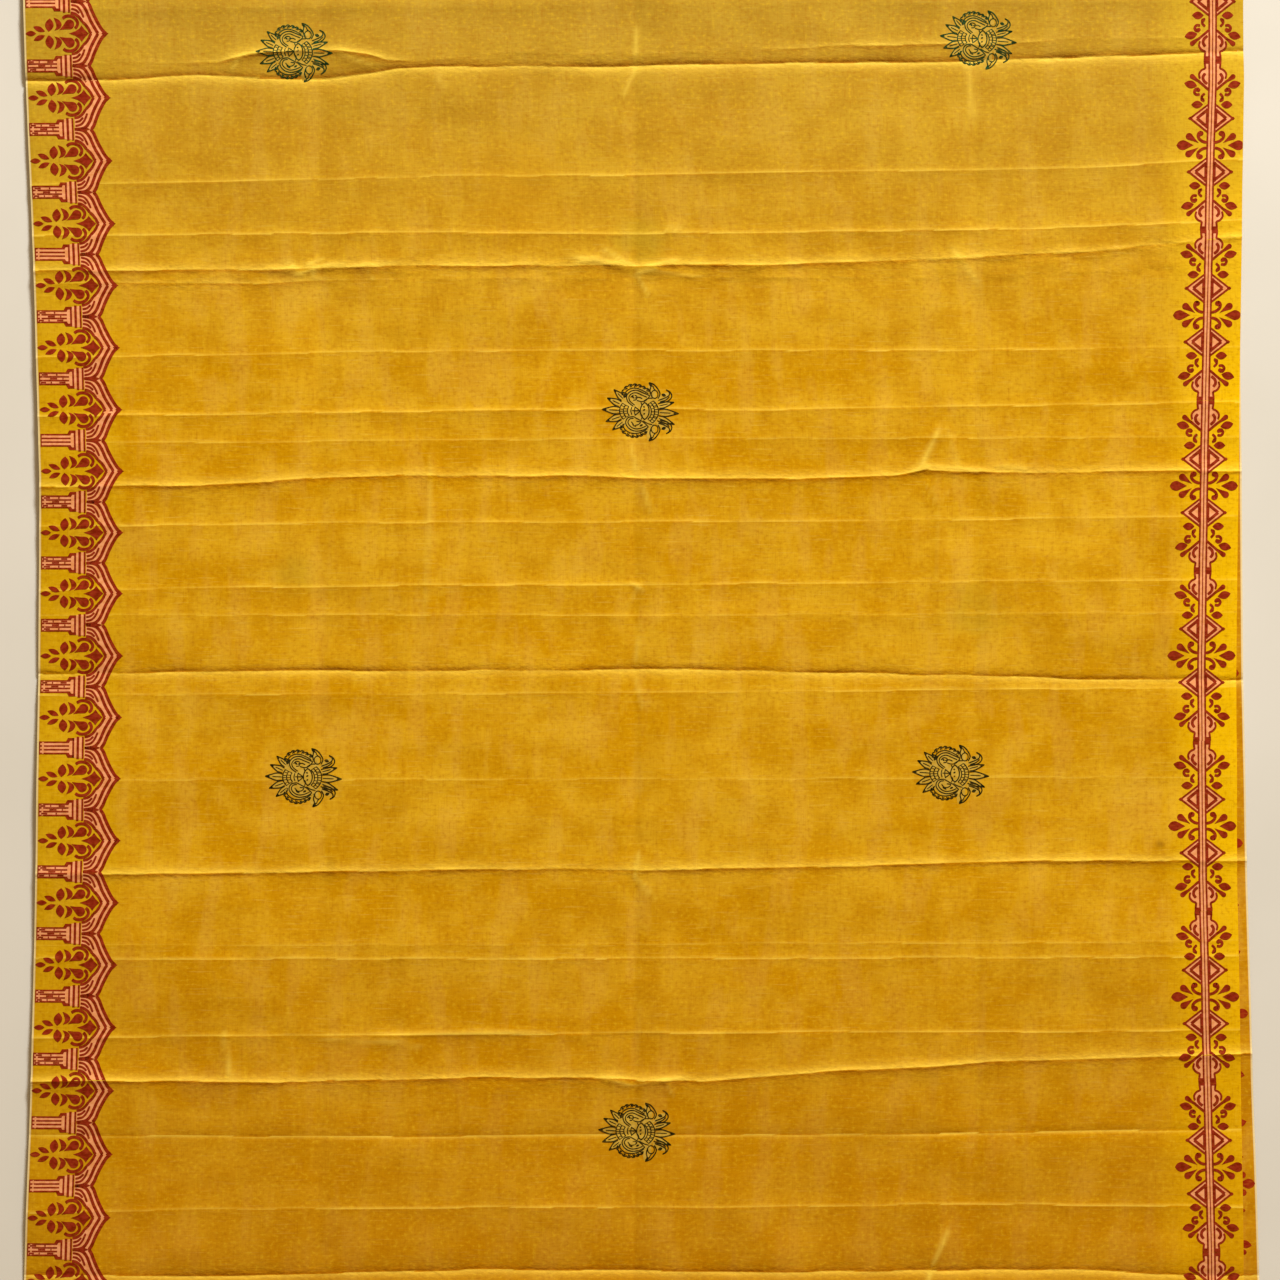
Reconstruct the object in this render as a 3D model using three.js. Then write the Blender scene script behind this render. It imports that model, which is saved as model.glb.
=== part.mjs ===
// A printed saree: one long length of cloth, folded in half twice across its length and laid flat.
// Units are millimetres, +Z is up, X runs across the cloth from selvedge to selvedge, Y along it.
// The origin is the middle of the flat underside. The outer fold is at +Y and the free ends at -Y.
//
// Four layers lie on each other. From the top down they are
//   top layer      face up, from the hem at -Y to the outer fold at +Y
//   second layer   face down, from the hem at -Y to the inner fold at +Y
//   third layer    face up, from the inner fold to the lower fold at -Y
//   bottom layer   face down, from the lower fold to the outer fold
// The third and bottom layers don't show, so they are one solid that is layered at its edges.

import * as THREE from 'three';

// Driving dimensions
const HALF_LENGTH = 779; // from the middle to the outer fold, and to the end of the second layer's hem
const WALL = 1.2; // one layer of cloth
const GAP = 0.3; // between two layers, and at each seam
const EDGE_ROUND = 0.5; // how far a selvedge or a free end stands out at the middle of its thickness
const EDGE_THINNING = 0.5; // share of its thickness that is left where it stands out
const FOLD_LEG = 12; // straight stretch of a fold piece, before it turns
const HEM = 9; // width of the turned hem at a cut end
const TOP_HEM_SHORT = 6; // how far the top hem stops before the second one
const LOWER_FOLD_SHORT = 3; // and how far the lower fold does
const LAYER_GROOVE = 4; // depth of the groove between the third and bottom layers at the selvedges
const FOLD_STEPS = 6; // facets round half a turn of a fold

// Sections of the lower fold's round nose: how far along its radius each lies, and the share of thickness left
const NOSE = [
  { along: 0.6, left: 0.8 },
  { along: 1, left: 0.35 },
];

// Where each layer starts, up from the surface that the cloth lies on
const PITCH = WALL + GAP;
const LEVEL = { bottom: 0, third: PITCH, second: 2 * PITCH, top: 3 * PITCH };

// Selvedges of the four layers, left and right, a row for each line across the cloth
const EDGES = [
  { y: 779, top: [-607.5, 584], second: [-597, 583], third: [-597, 583], bottom: [-607.5, 584] },
  { y: 584, top: [-602.5, 586], second: [-598, 582], third: [-595, 581], bottom: [-600, 582] },
  { y: 399, top: [-595, 583], second: [-591, 582], third: [-590, 579], bottom: [-590, 578] },
  { y: 194, top: [-588.5, 581], second: [-585, 584.5], third: [-583, 577], bottom: [-584, 576] },
  { y: 6, top: [-590, 579], second: [-584, 586], third: [-584, 575], bottom: [-585, 575] },
  { y: -189, top: [-592.5, 579], second: [-582, 589.5], third: [-586, 576], bottom: [-588, 575] },
  { y: -391, top: [-597, 583], second: [-580, 595], third: [-588, 580], bottom: [-591, 578] },
  { y: -583, top: [-603.5, 586], second: [-579, 601.5], third: [-589, 584], bottom: [-594, 582] },
  { y: -779, top: [-607.5, 589], second: [-576, 607.5], third: [-592, 586], bottom: [-592, 586] },
];

// Creases across the cloth, where it was folded small: a row each, from +Y to -Y. y and rise are given at the
// left selvedge, in the middle and at the right one. A ridge rises, and a valley has a rise under zero.
const CREASE_X = [-600, -8, 590];
const CREASES = [
  { y: [584, 597, 613], rise: [-0.6, -0.6, -0.5], reach: 13 },
  { y: [397, 399, 441], rise: [1.8, 2.2, 1.0], reach: 13 },
  { y: [187, 194, 201], rise: [2.4, 2.6, 2.0], reach: 12 },
  { y: [3, 8, -3], rise: [-0.6, -0.6, -0.6], reach: 13 },
  { y: [-194, -189, -180], rise: [2.4, 2.2, 2.6], reach: 12 },
  { y: [-394, -392, -369], rise: [2.2, 1.6, 2.4], reach: 12 },
  { y: [-584, -582, -585], rise: [-0.6, -0.6, -0.6], reach: 13 },
];

// Creases along the cloth, where its width was folded in four
const LONG_CREASES = [
  { x: -315, rise: 0.8, reach: 24 },
  { x: -8, rise: -0.3, reach: 20 },
  { x: 288, rise: 0.7, reach: 24 },
];
const LONG_CREASE_END = 755; // they stop this far from the middle of the length
const LONG_CREASE_FADE = 80; // after fading out over this length
const PLAIN_COLUMNS = [-575, -500, -410, -160, 130, 400, 490, 565]; // lines along the cloth between them

const CLOTH = { color: '#d9a11e', roughness: 0.62, metalness: 0 };
const CLOTH_BACK = { color: '#b9821a', roughness: 0.7, metalness: 0 };

// The value at `at` on the straight lines through the given places and values. The places run upwards.
function between(places, values, at) {
  const found = places.findIndex((place) => place >= at);
  const next = found < 0 ? places.length - 1 : Math.max(found, 1);
  const share = (at - places[next - 1]) / (places[next] - places[next - 1]);
  return THREE.MathUtils.lerp(values[next - 1], values[next], THREE.MathUtils.clamp(share, 0, 1));
}

// The selvedge of a layer at a line across the cloth: side 0 is the left one and side 1 the right one
const EDGES_UPWARDS = [...EDGES].reverse();
const EDGE_Y = EDGES_UPWARDS.map((row) => row.y);
const selvedge = (layer, side) => (y) => between(EDGE_Y, EDGES_UPWARDS.map((row) => row[layer][side]), y);

// Height of the creases along the cloth at a point
function longRise(x, y) {
  const fade = THREE.MathUtils.clamp((LONG_CREASE_END - Math.abs(y)) / LONG_CREASE_FADE, 0, 1);
  const sum = LONG_CREASES.reduce((total, crease) => {
    const nearness = Math.max(0, 1 - Math.abs(x - crease.x) / crease.reach);
    return total + crease.rise * nearness;
  }, 0);
  return fade * sum;
}

// Lines along the cloth that all layers share, so that they nest
const COLUMNS = [
  ...PLAIN_COLUMNS,
  ...LONG_CREASES.flatMap(({ x, reach }) => [x - reach, x, x + reach]),
].sort((a, b) => a - b);

// Lines across the cloth: both ends, and the crest and feet of each crease. Each gives y and rise at an x.
function linesAcross(start, end) {
  const creaseLines = CREASES.flatMap((crease) => [
    { y: (x) => between(CREASE_X, crease.y, x) + crease.reach, rise: () => 0 },
    { y: (x) => between(CREASE_X, crease.y, x), rise: (x) => between(CREASE_X, crease.rise, x) },
    { y: (x) => between(CREASE_X, crease.y, x) - crease.reach, rise: () => 0 },
  ]);
  return [{ y: () => start, rise: () => 0 }, ...creaseLines, { y: () => end, rise: () => 0 }];
}

// The closed surface through rings of points that all run the same way round, with a cap at each end.
// `cap` lists the triangles of the first end as indices into a ring. A ring runs back along its underside from
// `turn` on, where its facets are split the other way, so that they match the upper side of the layer beneath.
function closedSurface(rings, cap, turn) {
  const size = rings[0].length;
  const index = [];
  for (let ring = 0; ring + 1 < rings.length; ring += 1) {
    for (let i = 0; i < size; i += 1) {
      const here = ring * size + i;
      const beside = ring * size + ((i + 1) % size);
      if (i < turn) index.push(here, beside, here + size, beside, beside + size, here + size);
      else index.push(here, beside, beside + size, here, beside + size, here + size);
    }
  }
  const last = (rings.length - 1) * size;
  for (const [a, b, c] of cap) {
    index.push(a, b, c);
    index.push(last + a, last + c, last + b);
  }
  const geometry = new THREE.BufferGeometry();
  geometry.setAttribute('position', new THREE.Float32BufferAttribute(rings.flat(2), 3));
  geometry.setIndex(index);
  geometry.computeVertexNormals();
  return geometry;
}

// Triangles of an end whose ring runs along its upper line and back along its lower one
function stripCap(upperCount, size) {
  const cap = [];
  for (let i = 0; i + 1 < upperCount; i += 1) {
    const below = size - 1 - i;
    cap.push([i, below, i + 1], [i + 1, below, below - 1]);
  }
  return cap;
}

// One layer of cloth between two lines across it, with its selvedges rounded, and its end too where it is free
function layerWall(layer, start, end, endRound = 0) {
  const level = LEVEL[layer];
  const leftAt = selvedge(layer, 0);
  const rightAt = selvedge(layer, 1);
  const lines = linesAcross(start, end).filter((line) => line.y(0) <= start && line.y(0) >= end);
  const middle = WALL / 2;
  const ringOf = (line, thick) => {
    const left = leftAt(line.y(COLUMNS[0]));
    const right = rightAt(line.y(COLUMNS[COLUMNS.length - 1]));
    const places = [left + EDGE_ROUND, ...COLUMNS, right - EDGE_ROUND];
    const point = (x, z) => [x, line.y(x), level + z + line.rise(x) + longRise(x, line.y(x))];
    const upper = places.map((x) => point(x, middle + thick));
    const lower = places.map((x) => point(x, middle - thick)).reverse();
    return [point(left, middle), ...upper, point(right, middle), ...lower];
  };
  const rings = lines.map((line) => ringOf(line, middle));
  if (endRound > 0) {
    const tip = { y: () => end - endRound, rise: () => 0 };
    rings.push(ringOf(tip, middle * EDGE_THINNING));
  }
  const size = rings[0].length;
  const across = COLUMNS.length + 2;
  const cap = [[0, size - 1, 1], [across, across + 2, across + 1]];
  for (const [a, b, c] of stripCap(across, size - 2)) {
    const shift = (i) => (i < across ? i + 1 : i + 2);
    cap.push([shift(a), shift(b), shift(c)]);
  }
  return closedSurface(rings.reverse(), cap, across + 1);
}

// The third and bottom layers as one solid, grooved between them at the selvedges and round at the lower fold
function hiddenSolid(start, end) {
  const lines = linesAcross(start, end);
  const thickness = LEVEL.third + WALL;
  const middle = thickness / 2;
  const ringOf = (line, squash) => {
    const left = line.y(COLUMNS[0]);
    const right = line.y(COLUMNS[COLUMNS.length - 1]);
    const rise = (x) => line.rise(x) + longRise(x, line.y(x));
    const point = (x, z) => {
      const share = z / thickness;
      return [x, line.y(x), middle + (z - middle) * squash + rise(x) * share];
    };
    const side = (thirdEdge, bottomEdge, inward) => {
      const groove = (inward > 0 ? Math.max : Math.min)(thirdEdge, bottomEdge) + inward * LAYER_GROOVE;
      return [
        point(thirdEdge + inward * EDGE_ROUND, thickness),
        point(thirdEdge, LEVEL.third + WALL / 2),
        point(thirdEdge + inward * EDGE_ROUND, LEVEL.third),
        point(groove, WALL + GAP / 2),
        point(bottomEdge + inward * EDGE_ROUND, WALL),
        point(bottomEdge, WALL / 2),
        point(bottomEdge + inward * EDGE_ROUND, 0),
      ];
    };
    const leftSide = side(selvedge('third', 0)(left), selvedge('bottom', 0)(left), 1).reverse();
    const rightSide = side(selvedge('third', 1)(right), selvedge('bottom', 1)(right), -1);
    const upper = COLUMNS.map((x) => point(x, thickness));
    const lower = COLUMNS.map((x) => point(x, 0)).reverse();
    return [...leftSide, ...upper, ...rightSide, ...lower];
  };
  const rings = lines.map((line) => ringOf(line, 1));
  for (const { along, left: squash } of NOSE) {
    rings.push(ringOf({ y: () => end - middle * along, rise: () => 0 }, squash));
  }
  const count = COLUMNS.length;
  const size = rings[0].length;
  const sideCount = (size - 2 * count) / 2;
  const groove = (sideCount - 1) / 2; // the groove is the middle point of a side
  const upperStart = sideCount;
  const rightStart = sideCount + count;
  // Triangles from the groove to the rest of its side and to the columns beside it
  const fan = (sideStart, columnBefore, columnAfter) => {
    const side = Array.from({ length: sideCount }, (_, i) => sideStart + i);
    const round = [columnBefore, ...side, columnAfter, columnBefore];
    const hub = sideStart + groove;
    const pairs = round.slice(0, -1).map((a, i) => [a, round[i + 1]]);
    return pairs.filter((pair) => !pair.includes(hub)).map(([a, b]) => [hub, b, a]);
  };
  const lowerAt = (i) => size - 1 - i;
  const cap = [
    ...fan(0, lowerAt(0), upperStart),
    ...fan(rightStart, rightStart - 1, rightStart + sideCount),
  ];
  for (let i = 0; i + 1 < count; i += 1) {
    cap.push([upperStart + i, lowerAt(i), upperStart + i + 1]);
    cap.push([upperStart + i + 1, lowerAt(i), lowerAt(i + 1)]);
  }
  return closedSurface(rings.reverse(), cap, rightStart + sideCount);
}

// A turn of the cloth at the +Y end, from an upper layer round to the lower one that it continues as
function foldWall(upperLayer, lowerLayer) {
  const upperLevel = LEVEL[upperLayer];
  const lowerLevel = LEVEL[lowerLayer];
  const [left, right] = EDGES[0][upperLayer];
  const middle = (upperLevel + WALL + lowerLevel) / 2;
  const outer = (upperLevel + WALL - lowerLevel) / 2;
  const turn = HALF_LENGTH - (LEVEL.top + WALL) / 2;
  const start = turn - FOLD_LEG;
  const arc = (radius) =>
    Array.from({ length: FOLD_STEPS + 1 }, (_, i) => {
      const angle = Math.PI / 2 - (Math.PI * i) / FOLD_STEPS;
      return [turn + radius * Math.cos(angle), middle + radius * Math.sin(angle)];
    });
  const profile = (radius) => [[start, middle + radius], ...arc(radius), [start, middle - radius]];
  const outerLine = profile(outer);
  const innerLine = profile(outer - WALL).reverse();
  const ring = [...outerLine, ...innerLine];
  const places = [left, left + EDGE_ROUND, ...COLUMNS, right - EDGE_ROUND, right];
  const rings = places.map((x, i) => {
    const thickness = i === 0 || i === places.length - 1 ? EDGE_THINNING : 1;
    const inward = (1 - thickness) / 2; // from one face of the wall towards the other
    return ring.map(([y, z], j) => {
      const [facingY, facingZ] = ring[ring.length - 1 - j];
      return [x, THREE.MathUtils.lerp(y, facingY, inward), THREE.MathUtils.lerp(z, facingZ, inward)];
    });
  });
  return closedSurface(rings.reverse(), stripCap(outerLine.length, ring.length), outerLine.length);
}

function named(name, geometry, look) {
  const mesh = new THREE.Mesh(geometry, new THREE.MeshStandardMaterial(look));
  mesh.name = name;
  return mesh;
}

const foldSeam = HALF_LENGTH - (LEVEL.top + WALL) / 2 - FOLD_LEG - GAP;
const topHemEnd = -HALF_LENGTH + TOP_HEM_SHORT;
const secondHemEnd = -HALF_LENGTH;
const lowerFoldEnd = -HALF_LENGTH + LOWER_FOLD_SHORT;
const lowerFoldRadius = (LEVEL.third + WALL) / 2;

// A hem: the last stretch of a layer, turned under and rounded at its free edge
function hemWall(layer, end) {
  return layerWall(layer, end + HEM, end + EDGE_ROUND, EDGE_ROUND);
}

const saree = new THREE.Group();
saree.add(
  named('top_layer', layerWall('top', foldSeam, topHemEnd + HEM + GAP), CLOTH),
  named('second_layer', layerWall('second', foldSeam, secondHemEnd + HEM + GAP), CLOTH_BACK),
  named('hidden_layers', hiddenSolid(foldSeam, lowerFoldEnd + lowerFoldRadius), CLOTH),
  named('outer_fold', foldWall('top', 'bottom'), CLOTH),
  named('inner_fold', foldWall('second', 'third'), CLOTH_BACK),
  named('top_hem', hemWall('top', topHemEnd), CLOTH),
  named('second_hem', hemWall('second', secondHemEnd), CLOTH_BACK),
);

export default saree;
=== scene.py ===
"""Blender add-on: a block-printed saree, folded in half twice across its length and laid flat."""

import math
from collections import namedtuple

import bmesh
import bpy
import numpy as np
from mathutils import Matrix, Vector


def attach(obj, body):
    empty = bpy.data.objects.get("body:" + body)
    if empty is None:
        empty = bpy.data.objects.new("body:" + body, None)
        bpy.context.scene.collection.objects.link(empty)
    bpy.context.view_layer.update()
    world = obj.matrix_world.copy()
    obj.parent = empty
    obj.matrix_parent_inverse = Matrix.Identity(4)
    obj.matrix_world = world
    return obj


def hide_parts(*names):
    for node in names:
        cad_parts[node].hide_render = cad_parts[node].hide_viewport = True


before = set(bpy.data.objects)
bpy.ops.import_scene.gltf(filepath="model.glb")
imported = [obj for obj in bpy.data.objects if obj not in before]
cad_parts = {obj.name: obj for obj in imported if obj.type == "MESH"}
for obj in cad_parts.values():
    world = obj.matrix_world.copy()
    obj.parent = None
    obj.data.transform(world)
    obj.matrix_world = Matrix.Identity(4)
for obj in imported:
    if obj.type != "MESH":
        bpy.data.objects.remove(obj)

bl_info = {
    "name": "Folded Saree",
    "version": (1, 0, 0),
    "blender": (4, 5, 0),
    "location": "3D View > Sidebar > Saree",
    "description": "Builds a printed saree that is folded across its length and laid flat",
    "category": "Object",
}

# Units: every table and function below works in millimetres, and a mesh is scaled to metres as it is made.
# X runs across the cloth from selvedge to selvedge, Y along it, and Z is up.
METRE = 0.001
SEED = 7

# ---- The cloth's outline

SEAM = 764.0  # where the layers run on into their folds and hems
FOLD_TURN = 776.15  # middle of the round of both folds
TOP_END = -773.0
SECOND_END = -779.0
LOWER_FOLD_END = -776.0
HEM_LINE = -764.0
SECOND_HEM_LINE = -770.0

CLOTH = 0.7  # thickness of a layer's shell: the cloth and the air that lifts it
# Upper side of each layer where it is flat. The printed face of the bottom layer is its lower side.
LEVEL = {"top": 5.55, "second": 4.05, "third": 2.55, "bottom": 1.0}
UNDERSIDE = LEVEL["bottom"] - CLOTH
FOLD_MIDDLE = (LEVEL["top"] + UNDERSIDE) / 2
OUTER_RADIUS = (LEVEL["top"] - UNDERSIDE) / 2
INNER_RADIUS = (LEVEL["second"] - (LEVEL["third"] - CLOTH)) / 2
ARC_LENGTH = math.pi * OUTER_RADIUS
SEAM_BLEND = 30.0  # a layer's selvedges come to those of its fold over this length
SELVEDGE_WIDTH = 2.6
CLOTH_WIDTH = 1180.0  # where the layers lie evenly on each other
LEFT_X = -598.0
MIDDLE_X = -8.0  # of the crease along the middle

# Selvedges of each layer, left and right, a row for each line across the cloth
Edge = namedtuple(
    "Edge", "y top_left top_right second_left second_right third_left third_right low_left low_right")
EDGES = [
    Edge(-779, -607.5, 589.0, -576.0, 607.5, -592.0, 586.0, -592.0, 586.0),
    Edge(-583, -604.0, 586.0, -579.0, 601.5, -589.0, 584.0, -594.0, 582.0),
    Edge(-391, -597.0, 583.0, -580.0, 595.0, -588.0, 580.0, -591.0, 578.0),
    Edge(-189, -592.5, 579.5, -582.0, 589.5, -586.0, 576.0, -588.0, 575.0),
    Edge(6, -590.0, 579.0, -584.0, 586.0, -584.0, 575.0, -585.0, 575.0),
    Edge(194, -588.5, 581.0, -585.0, 584.5, -583.0, 577.0, -584.0, 576.0),
    Edge(399, -594.5, 583.5, -591.0, 582.0, -590.0, 579.0, -590.0, 578.0),
    Edge(584, -602.5, 586.5, -598.0, 582.0, -595.0, 581.0, -600.0, 582.0),
    Edge(779, -607.5, 584.0, -597.0, 583.0, -597.0, 583.0, -607.5, 584.0),
]

# ---- Creases. A ridge has a rise above zero and a valley one below it.

# A crease across the cloth: points from left to right as (x, y, rise), how far its sides reach above it and
# below it, how round its crest is, and how crumpled it is
Crease = namedtuple("Crease", "name above below crest crumple points")
CREASES = [
    Crease("end_a", 9, 9, 1.6, 0.1, [(-600, -690, -0.5), (0, -684, -0.7), (590, -688, -0.4)]),
    Crease("fold_7", 12, 7, 0.6, 0.3, [
        (-600, -584, -2.2), (-403, -584, -2.2), (-160, -578, -1.8), (140, -580, -2.0), (420, -578, -1.9),
        (494, -582, -1.6), (590, -584, -1.4)]),
    Crease("thin_15", 2.2, 9, 0.4, 0.1, [
        (-600, -523, 0.45), (-390, -519, 0.5), (-100, -517, 0.5), (60, -518, 0.6), (300, -514, 0.6),
        (590, -517, 0.6)]),
    Crease("thin_14", 4, 3, 0.4, 0.1, [
        (-600, -447, -0.5), (-240, -448, -0.8), (-3, -446, -0.8), (180, -446, -0.5), (300, -445, -1.0),
        (480, -442, -1.0), (590, -441, -0.5)]),
    Crease("fold_6", 6, 10, 0.4, 0.5, [
        (-600, -394, 2.3), (-403, -394, 2.6), (-334, -395, 2.2), (-237, -392, 1.6), (-168, -390, 1.6),
        (-22, -391, 1.8), (0, -393, 1.7), (56, -394, 1.5), (114, -389, 1.8), (182, -384, 2.0),
        (299, -378, 2.1), (387, -373, 2.2), (524, -369, 2.3), (590, -368, 2.0)]),
    Crease("thin_13", 2.2, 8, 0.4, 0.5, [
        (-600, -352, 0.6), (-300, -350, 0.7), (-160, -349, 0.8), (200, -346, 0.6), (590, -345, 0.6)]),
    Crease("thin_12", 5, 14, 0.7, 0.1, [(-600, -275, 0.6), (0, -275, 0.8), (590, -273, 0.6)]),
    Crease("thin_11", 3, 5, 0.5, 0.1, [(-600, -262, 0.25), (0, -261, 0.3), (590, -258, 0.3)]),
    Crease("fold_5", 6.5, 3.2, 0.45, 0.35, [
        (-600, -192, 1.6), (-442, -192, 1.7), (-334, -190, 1.5), (-188, -188, 1.2), (-81, -187, 1.2),
        (-3, -188, 1.2), (134, -186, 1.0), (250, -183, 1.4), (397, -179, 1.9), (504, -179, 2.0),
        (590, -179, 1.8)]),
    Crease("thin_10", 9, 9, 0.8, 0.1, [(-600, -101, 0.3), (0, -100, 0.4), (590, -98, 0.3)]),
    Crease("thin_9", 3, 5, 0.5, 0.1, [
        (-600, -18, 0.5), (-200, -17, 0.3), (0, -16, 0.5), (100, -15, 0.2), (300, -13, 0.5),
        (590, -10, 0.2)]),
    Crease("fold_4", 2.8, 9, 0.45, 0.2, [
        (-600, 2.9, -1.3), (-334, 6, -1.5), (-42, 7, -1.3), (56, 7.8, -1.5), (153, 5, -1.5),
        (348, 1, -1.5), (446, -2.9, -1.6), (590, -2.9, -1.5)]),
    Crease("thin_8", 2.4, 8, 0.4, 0.2, [(-600, 60, 0.3), (0, 60, 0.35), (590, 62, 0.25)]),
    Crease("thin_7", 2.4, 9, 0.4, 0.2, [
        (-600, 84, 0.5), (-240, 89, 0.6), (0, 90, 0.6), (240, 92, 0.5), (590, 95, 0.4)]),
    Crease("thin_6", 2.4, 9, 0.4, 0.1, [
        (-600, 146, 0.6), (-300, 150, 0.5), (0, 151, 0.5), (300, 153, 0.45), (590, 156, 0.4)]),
    Crease("fold_3", 7, 8, 0.4, 0.3, [
        (-600, 185, 1.9), (-510, 186, 2.2), (-432, 187, 2.2), (-364, 190, 1.8), (-315, 194, 1.4),
        (-237, 196, 1.4), (-42, 196, 1.7), (-3, 194, 2.1), (153, 194, 2.2), (250, 197, 2.1),
        (275, 202, 1.8), (348, 199, 1.7), (524, 201, 1.7), (590, 201, 1.6)]),
    Crease("thin_5", 4, 8, 0.5, 0.1, [(-600, 227, 0.4), (0, 232, 0.4), (590, 233, 0.3)]),
    Crease("thin_4", 2.4, 6, 0.35, 0.05, [
        (-600, 254, 0.8), (-400, 256, 0.9), (-300, 258, 0.7), (-3, 261, 0.8), (120, 260, 0.6),
        (300, 263, 0.5), (590, 268, 0.4)]),
    Crease("thin_3", 2.2, 8, 0.4, 0.1, [
        (-600, 311, 0.6), (-240, 317, 0.5), (0, 318, 0.6), (300, 318, 0.5), (590, 322, 0.35)]),
    Crease("fold_2", 9, 8, 0.45, 0.9, [
        (-600, 396, 1.5), (-373, 397, 1.5), (-325, 399, 1.3), (-200, 401, 1.3), (-3, 401, 1.5),
        (124, 402, 1.4), (202, 404, 1.3), (299, 408, 1.0), (436, 415, 1.0), (524, 424, 1.0),
        (590, 430, 0.9)]),
    Crease("fold_2_upper", 5, 7, 0.6, 0.6, [
        (-600, 384, 0.7), (-520, 384, 0.9), (-373, 383, 0.9), (-325, 386, 0.5), (-240, 388, 0.2),
        (300, 390, 0.1), (590, 400, 0.1)]),
    Crease("thin_2", 4, 10, 0.4, 0.3, [
        (-600, 430, 0.7), (-373, 432, 0.8), (-150, 433, 0.9), (-3, 432, 0.9), (200, 434, 0.9),
        (436, 438, 0.8), (524, 443, 0.9), (590, 446, 0.7)]),
    Crease("thin_1", 2.8, 8, 0.4, 0.1, [
        (-600, 479, 0.6), (-420, 482, 0.6), (-200, 488, 0.55), (0, 489, 0.6), (240, 493, 0.5),
        (436, 497, 0.5), (590, 505, 0.5)]),
    Crease("fold_1", 3.4, 7, 0.45, 0.3, [
        (-600, 582, -1.9), (-524, 582, -1.9), (-432, 587, -1.9), (-373, 584, -2.1), (-305, 583, -2.1),
        (-266, 588, -1.8), (-237, 593, -1.5), (-198, 595, -1.6), (-3, 596, -1.8), (60, 598, -2.1),
        (299, 600.5, -2.2), (475, 606, -2.0), (514, 608, -1.9), (590, 611, -1.7)]),
    Crease("fold_1_upper", 5, 4.5, 0.4, 0.3, [
        (-600, 599, 0.1), (-415, 599, 0.5), (-396, 604, 1.8), (-378, 608, 2.6), (-335, 610.5, 2.8),
        (-295, 610.4, 2.8), (-266, 606.5, 2.4), (-246, 600.5, 1.2), (-222, 600, 0.3), (-170, 605, 0.35),
        (-135, 609, 0.35), (-100, 607, 0.3), (-3, 608, 0.15), (120, 612, 0.3), (205, 616, 0.9),
        (330, 617, 0.9), (420, 622, 0.3), (590, 625, 0.2)]),
    Crease("end_b", 5, 5, 0.6, 0.1, [
        (-600, 650, 0.8), (-400, 653, 0.8), (0, 657, 0.4), (590, 660, 0.4)]),
    Crease("end_c", 9, 9, 1.6, 0.1, [(-600, 706, 0.6), (0, 703, 0.8), (590, 708, 0.5)]),
]
SHARP = {"fold": 0.2, "thin": 0.1, "end_": 0.0}  # share of a crease's rise that stands as a pressed line
SHARP_REACH = 1.8
LIFT = {"fold": 0.68, "thin": 0.75, "end_": 1.0}  # share of the rises above that the cloth keeps
PRESSED = {"fold": 1.0, "thin": 0.4, "end_": 0.2}
PRESSED_REACH = 7.0
LEAST_PRESSED = 0.4

# Painted light along a crease: how far and how strongly a painted highlight lightens the side where the
# crease turns towards the outer fold, which faces the key light, and how far and how strongly painted shade
# darkens the other side
Wear = namedtuple("Wear", "pale_reach pale deep_reach deep")
PAINTED_LIGHT = {"fold": Wear(4.5, 0.9, 3.0, 1.0), "thin": Wear(1.3, 1.0, 1.3, 0.5), "end_": Wear(3.0, 0.2, 3.0, 0.2)}
PAINTED_LIGHT_FULL = {"fold": 1.5, "thin": 0.6, "end_": 1.0}  # rise of a crease whose painted light is at full strength
PUCKER_HIGHLIGHT = 0.9  # how strongly a painted highlight marks a short fold at most
PUCKER_HIGHLIGHT_REACH = 0.45  # and how far, as a share of its own reach

# Creases along the cloth, where its width was folded: x, from one y to another, rise, reach and crest
Along = namedtuple("Along", "x start end rise reach crest")
ALONG = [
    Along(-315, -700, 740, -1.0, 12, 2.0),
    Along(-8, -740, 750, -1.1, 6, 1.0),
    Along(324, -640, 740, -0.9, 8, 1.5),
    Along(289, -700, 200, 0.7, 9, 1.5),
    Along(16, -740, 750, 0.5, 12, 2.0),
    Along(292, 260, 740, 0.5, 14, 3.0),
    Along(-208, 30, 240, 0.5, 5, 1.5),
    Along(-232, -480, 620, 0.5, 8, 2.0),
    Along(421, -600, 640, 0.6, 12, 3.0),
    Along(-406, -420, -340, 0.6, 5, 1.5),
    Along(130, -700, 700, 0.6, 20, 5.0),
    Along(-470, -600, 700, -0.5, 16, 4.0),
]
LOWER_ALONG = 4  # so many of these, from the first, show in the layers beneath too
ALONG_FADE = 60.0  # they come up and die out over twice this

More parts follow.
